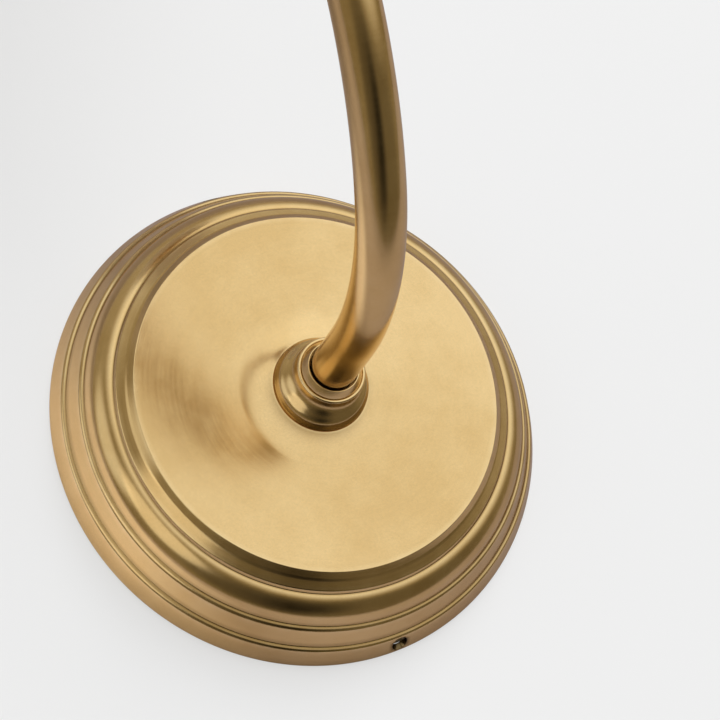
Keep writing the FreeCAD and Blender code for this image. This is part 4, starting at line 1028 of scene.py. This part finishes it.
def addCore(values, shell, terminal, contact):
    width, depth, near, level, height = values["flats"]
    bore, boreHeight = values["stemBore"]
    tools = [rod(bore, 0, 20, lift(boreHeight) @ quarter("Y"), segments=32)]
    for side in (1, -1):
        tools.append(block((width, depth, height), (0, side * (near + depth / 2), level)))
    bm = carved(turned(values["outline"]), tools)
    addPiece(bm, "lampholder_core_moulded", "lampholder_body", headPlace)
    bm = turned(shell["outline"], steps=144, spacing=0.5)
    thread(bm, *shell["thread"])
    addPiece(bm, "screw_shell_rolled", "screw_shell", headPlace)
    for node in ("terminal_live", "terminal_neutral"):
        side = 1 if middle(node).y < headAxis.y else -1
        bm = turned(terminal["outline"], steps=64, spacing=0.5)
        bm = carved(bm, [block(terminal["slot"], (0, 0, terminal["top"]))])
        place = headPlace @ lift(terminal["height"]) @ quarter("X", side)
        addPiece(bm, node + "_turned", node, place, sharp=30.0)
    bm = folded(contact["side"], contact["width"], headPlace @ lift(contact["height"]), spacing=1.0)
    addPiece(bm, "centre_contact_bent", "centre_contact")


addCase(caseValues)
addCore(coreValues, screwShellValues, terminalValues, contactValues)


# Switch: a turning stem with a fluted knob

switchValues = {
    "stem": [(0, 0.3), (2.1, 0.3, 0.3), (2.1, 25, 0.3), (0, 25)],
    "knob": [(0, 25.1), (2.15, 25.1), (2.15, 19), (3.4, 19, 0.35), (3.4, 23, 0.9),
             (5.6, 23, 0.9), (5.6, 31, 0.9), (0, 31)],
    "flutes": (10, 0.6, 23.3, 30.7, 4.9, 2.5),
    "height": 38.0,
}


def addSwitch(values):
    place = headPlace @ lift(values["height"]) @ quarter("Y")
    addPiece(turned(values["stem"]), "switch_stem_turned", "switch_stem", place)
    bm = turned(values["knob"], steps=120, spacing=0.5)
    flute(bm, *values["flutes"])
    addPiece(bm, "switch_knob_turned", "switch_knob", place)


addSwitch(switchValues)
print("lampholder and switch built")


# Shade: a dish on the shell's shoulder, its clamping ring, three thumb screws and the glass bell

holderValues = {
    "outline": [(16.6, 56), (23.5, 56, 4.0), (29.8, 61.6, 4.0), (29.8, 72.2, 0.35),
                (30.7, 72.2, 0.4), (30.7, 74, 0.4), (28.9, 74, 0.35), (28.9, 62.05, 3.1),
                (23.05, 56.9, 4.0), (16.6, 56.9)],
    "boss": (3.4, 29.3, 31.0),      # radius, from and to, away from the axis
    "tap": (2.0, 25.0, 34.0),
    "screwHeight": 69.5,
}
ringValues = {
    "outline": [(16.6, 56.9, 0.4), (20.5, 56.9, 0.4), (20.5, 62.4, 0.5), (16.6, 62.4, 0.4)],
    "flutes": (18, 0.42, 56.9, 62.5, 19.6, 3.0),
}
thumbValues = {
    "outline": [(0, 27.1), (1.95, 27.1, 0.4), (1.95, 34), (4.6, 34, 0.4), (4.6, 38.5, 0.5),
                (2.6, 38.5, 0.3), (2.2, 38.2, 0.3), (0, 38.2)],
    "thread": (0.8, 0.22, 27.3, 33.9, 1.8, 2.0),
    "flutes": (14, 0.4, 34.1, 38.4, 4.0, 2.0),
}
glassValues = {
    "outline": [(23.8, 61.6, 0.35), (28, 61.6, 0.9), (28, 67.1, 0.9), (26.8, 67.1, 0.35),
                (26.8, 77, 4.0), (60, 102, 30.0), (60.5, 152, 60.0), (67, 177, 1.4),
                (64, 177, 1.4), (57.5, 152, 60.0), (57, 103.5, 27.0), (23.8, 78.5, 7.0)],
}


def addShade(holder, ring, thumb, glass):
    level = lift(holder["screwHeight"]) @ quarter("Y")
    spots = [Matrix.Rotation(2 * pi * n / 3, 4, "Z") @ level for n in range(3)]
    radius, low, high = holder["boss"]
    bosses = []
    for spot in spots:
        boss = turned([(0, low), (radius, low), (radius, high, 0.35), (0, high)], steps=64)
        bmesh.ops.transform(boss, matrix=spot, verts=boss.verts)
        bosses.append(boss)
    bm = carved(turned(holder["outline"], steps=144), bosses, "UNION")
    bm = carved(bm, [rod(*holder["tap"], spot, segments=32) for spot in spots])
    addPiece(bm, "shade_holder_spun", "shade_holder", headPlace)
    bm = turned(ring["outline"], steps=216, spacing=0.6)
    flute(bm, *ring["flutes"])
    addPiece(bm, "shade_ring_turned", "shade_ring", headPlace)
    for n, spot in enumerate(spots, 1):
        bm = turned(thumb["outline"], steps=112, spacing=0.16)
        thread(bm, *thumb["thread"])
        flute(bm, *thumb["flutes"])
        addPiece(bm, f"thumb_screw_{n}_turned", f"thumb_screw_{n}", headPlace @ spot)
    bm = turned(glass["outline"], steps=192, spacing=2.0)
    addPiece(bm, "glass_shade_blown", "glass_shade", headPlace)


addShade(holderValues, ringValues, thumbValues, glassValues)
print("shade built")


# Wall and light

stageValues = {
    "wallSize": 3.0,
    "wallHole": 0.066,
    "wallTone": (0.40, 0.355, 0.37),    # as the metal sees it
    "litTone": (0.88, 0.83, 0.86),      # the same in a painted pool of light beside the canopy's left
    "litPlace": (-0.09, 0.0, 0.0),
    "litReach": (0.035, 0.085),
    "paleTone": (0.865, 0.88, 0.90),    # as the camera sees it
    "cloud": (0.985, 1.0),
    "glow": 0.87,
    "glowShare": 0.6,
}
worldValues = {
    "level": 0.25,
    "lobes": [                      # towards, full within degrees, gone at degrees, strength
        ((0.42, -0.84, 0.30), 28, 60, 0.76),
        ((-0.84, -0.42, 0.35), 10, 26, 0.60),
        ((0.2, -0.2, 1.0), 20, 70, 0.16),
        ((-0.42, -0.50, -0.75), 8, 38, -0.15),
        ((0.3, -0.35, -0.9), 20, 55, -0.10),
    ],
    "warm": (1.0, 0.84, 0.54),      # colour of the darkest surroundings
    "plain": (0.25, 0.75),          # levels from which the colour fades, and at which it is gone
    "backdrop": 0.80,
}
lampValues = {
    "key": {"place": (0.6, -1.0, 0.8), "size": 0.9, "power": 15.0, "shiny": False},
    "side_panel": {"place": (-0.33, -0.30, -0.08), "size": 0.30, "power": 0.16, "shiny": True,
                   "spares": "arm_tube_bent"},
}


def addWall(values):
    # a pale wall with a round opening behind the canopy, clear when it is seen from behind
    bm = bmesh.new()
    ring = bmesh.ops.create_circle(bm, segments=96, radius=values["wallHole"])["verts"]
    inner = list({edge for vert in ring for edge in vert.link_edges})
    made = bmesh.ops.extrude_edge_only(bm, edges=inner)["geom"]
    outer = [item for item in made if isinstance(item, bmesh.types.BMVert)]
    bmesh.ops.scale(bm, vec=(values["wallSize"] / values["wallHole"],) * 3, verts=outer)
    bmesh.ops.transform(bm, matrix=quarter("X"), verts=bm.verts)
    bmesh.ops.recalc_face_normals(bm, faces=bm.faces)
    bm.faces.ensure_lookup_table()
    if bm.faces[0].normal.y > 0:
        bmesh.ops.reverse_faces(bm, faces=bm.faces)
    wall = addMesh("wall", bm)
    material, tree, output = newTree("wall_paint")
    cloud = noise(tree, objectPlace(tree), 9.0, 3.0, 0.6)
    seen = addNode(tree, "LightPath").outputs["Is Camera Ray"]
    # a painted pool of light beside the canopy's left, on the wall as the metal sees it
    away = addNode(tree, "VectorMath", {0: objectPlace(tree), 1: values["litPlace"]},
                   operation="DISTANCE").outputs["Value"]
    near, far = values["litReach"]
    tones = blendColours(tree, span(tree, away, near, far, 1.0, 0.0), values["wallTone"],
                         values["litTone"])
    colour = blendColours(tree, seen, tones, values["paleTone"])
    patchy = grey(tree, span(tree, cloud, 0.0, 1.0, *values["cloud"]))
    colour = blendColours(tree, 1.0, colour, patchy, "MULTIPLY")
    paint = addNode(tree, "BsdfDiffuse", {"Color": colour, "Roughness": 0.6})
    glow = addNode(tree, "Emission", {"Color": (1, 1, 1, 1), "Strength": values["glow"]})
    share = mathNode(tree, "MULTIPLY", seen, values["glowShare"])
    lit = addNode(tree, "MixShader", {0: share, 1: paint.outputs[0], 2: glow.outputs[0]})
    clear = addNode(tree, "BsdfTransparent")
    behind = addNode(tree, "NewGeometry").outputs["Backfacing"]
    mixed = addNode(tree, "MixShader", {0: behind, 1: lit.outputs[0], 2: clear.outputs[0]})
    tree.links.new(mixed.outputs[0], output.inputs["Surface"])
    wall.data.materials.append(material)


def addWorld(values):
    world = bpy.data.worlds.new("studio")
    world.use_nodes = True
    tree = world.node_tree
    tree.nodes.clear()
    output = tree.nodes.new("ShaderNodeOutputWorld")
    direction = addNode(tree, "TexCoord").outputs["Generated"]
    level = values["level"]
    for towards, narrow, wide, strength in values["lobes"]:
        dot = addNode(tree, "VectorMath", {0: direction, 1: Vector(towards).normalized()},
                      operation="DOT_PRODUCT").outputs["Value"]
        lobe = addNode(tree, "MapRange", {
            "Value": dot, "From Min": cos(radians(wide)), "From Max": cos(radians(narrow)),
            "To Min": 0.0, "To Max": strength}, interpolation_type="SMOOTHSTEP")
        level = mathNode(tree, "ADD", level, lobe.outputs["Result"])
    tint = blendColours(tree, span(tree, level, *values["plain"], 0.0, 1.0), values["warm"],
                        (1.0, 1.0, 1.0))
    light = addNode(tree, "Background", {"Color": tint, "Strength": level})
    shade = values["backdrop"]
    backdrop = addNode(tree, "Background", {"Color": (shade, shade, shade, 1), "Strength": 1.0})
    seen = addNode(tree, "LightPath").outputs["Is Camera Ray"]
    mixed = addNode(tree, "MixShader", {0: seen, 1: light.outputs[0], 2: backdrop.outputs[0]})
    tree.links.new(mixed.outputs[0], output.inputs["Surface"])
    scene.world = world


def addLamp(name, values):
    # a round panel that faces the canopy
    lamp = bpy.data.lights.new(name, "AREA")
    lamp.shape = "DISK"
    lamp.size = values["size"]
    lamp.energy = values["power"]
    holder = addObject(name, lamp)
    holder.location = values["place"]
    holder.rotation_mode = "QUATERNION"
    holder.rotation_quaternion = (-Vector(values["place"])).to_track_quat("-Z", "Y")
    holder.visible_camera = False
    holder.visible_glossy = values["shiny"]
    if "spares" in values:          # a piece that this lamp leaves alone
        others = bpy.data.collections.new(name + "_spares")
        others.objects.link(bpy.data.objects[values["spares"]])
        others.collection_objects[0].light_linking.link_state = "EXCLUDE"
        holder.light_linking.receiver_collection = others


addWall(stageValues)
addWorld(worldValues)
for name, values in lampValues.items():
    addLamp(name, values)
scene.view_settings.view_transform = "Standard"
print("wall and light set")
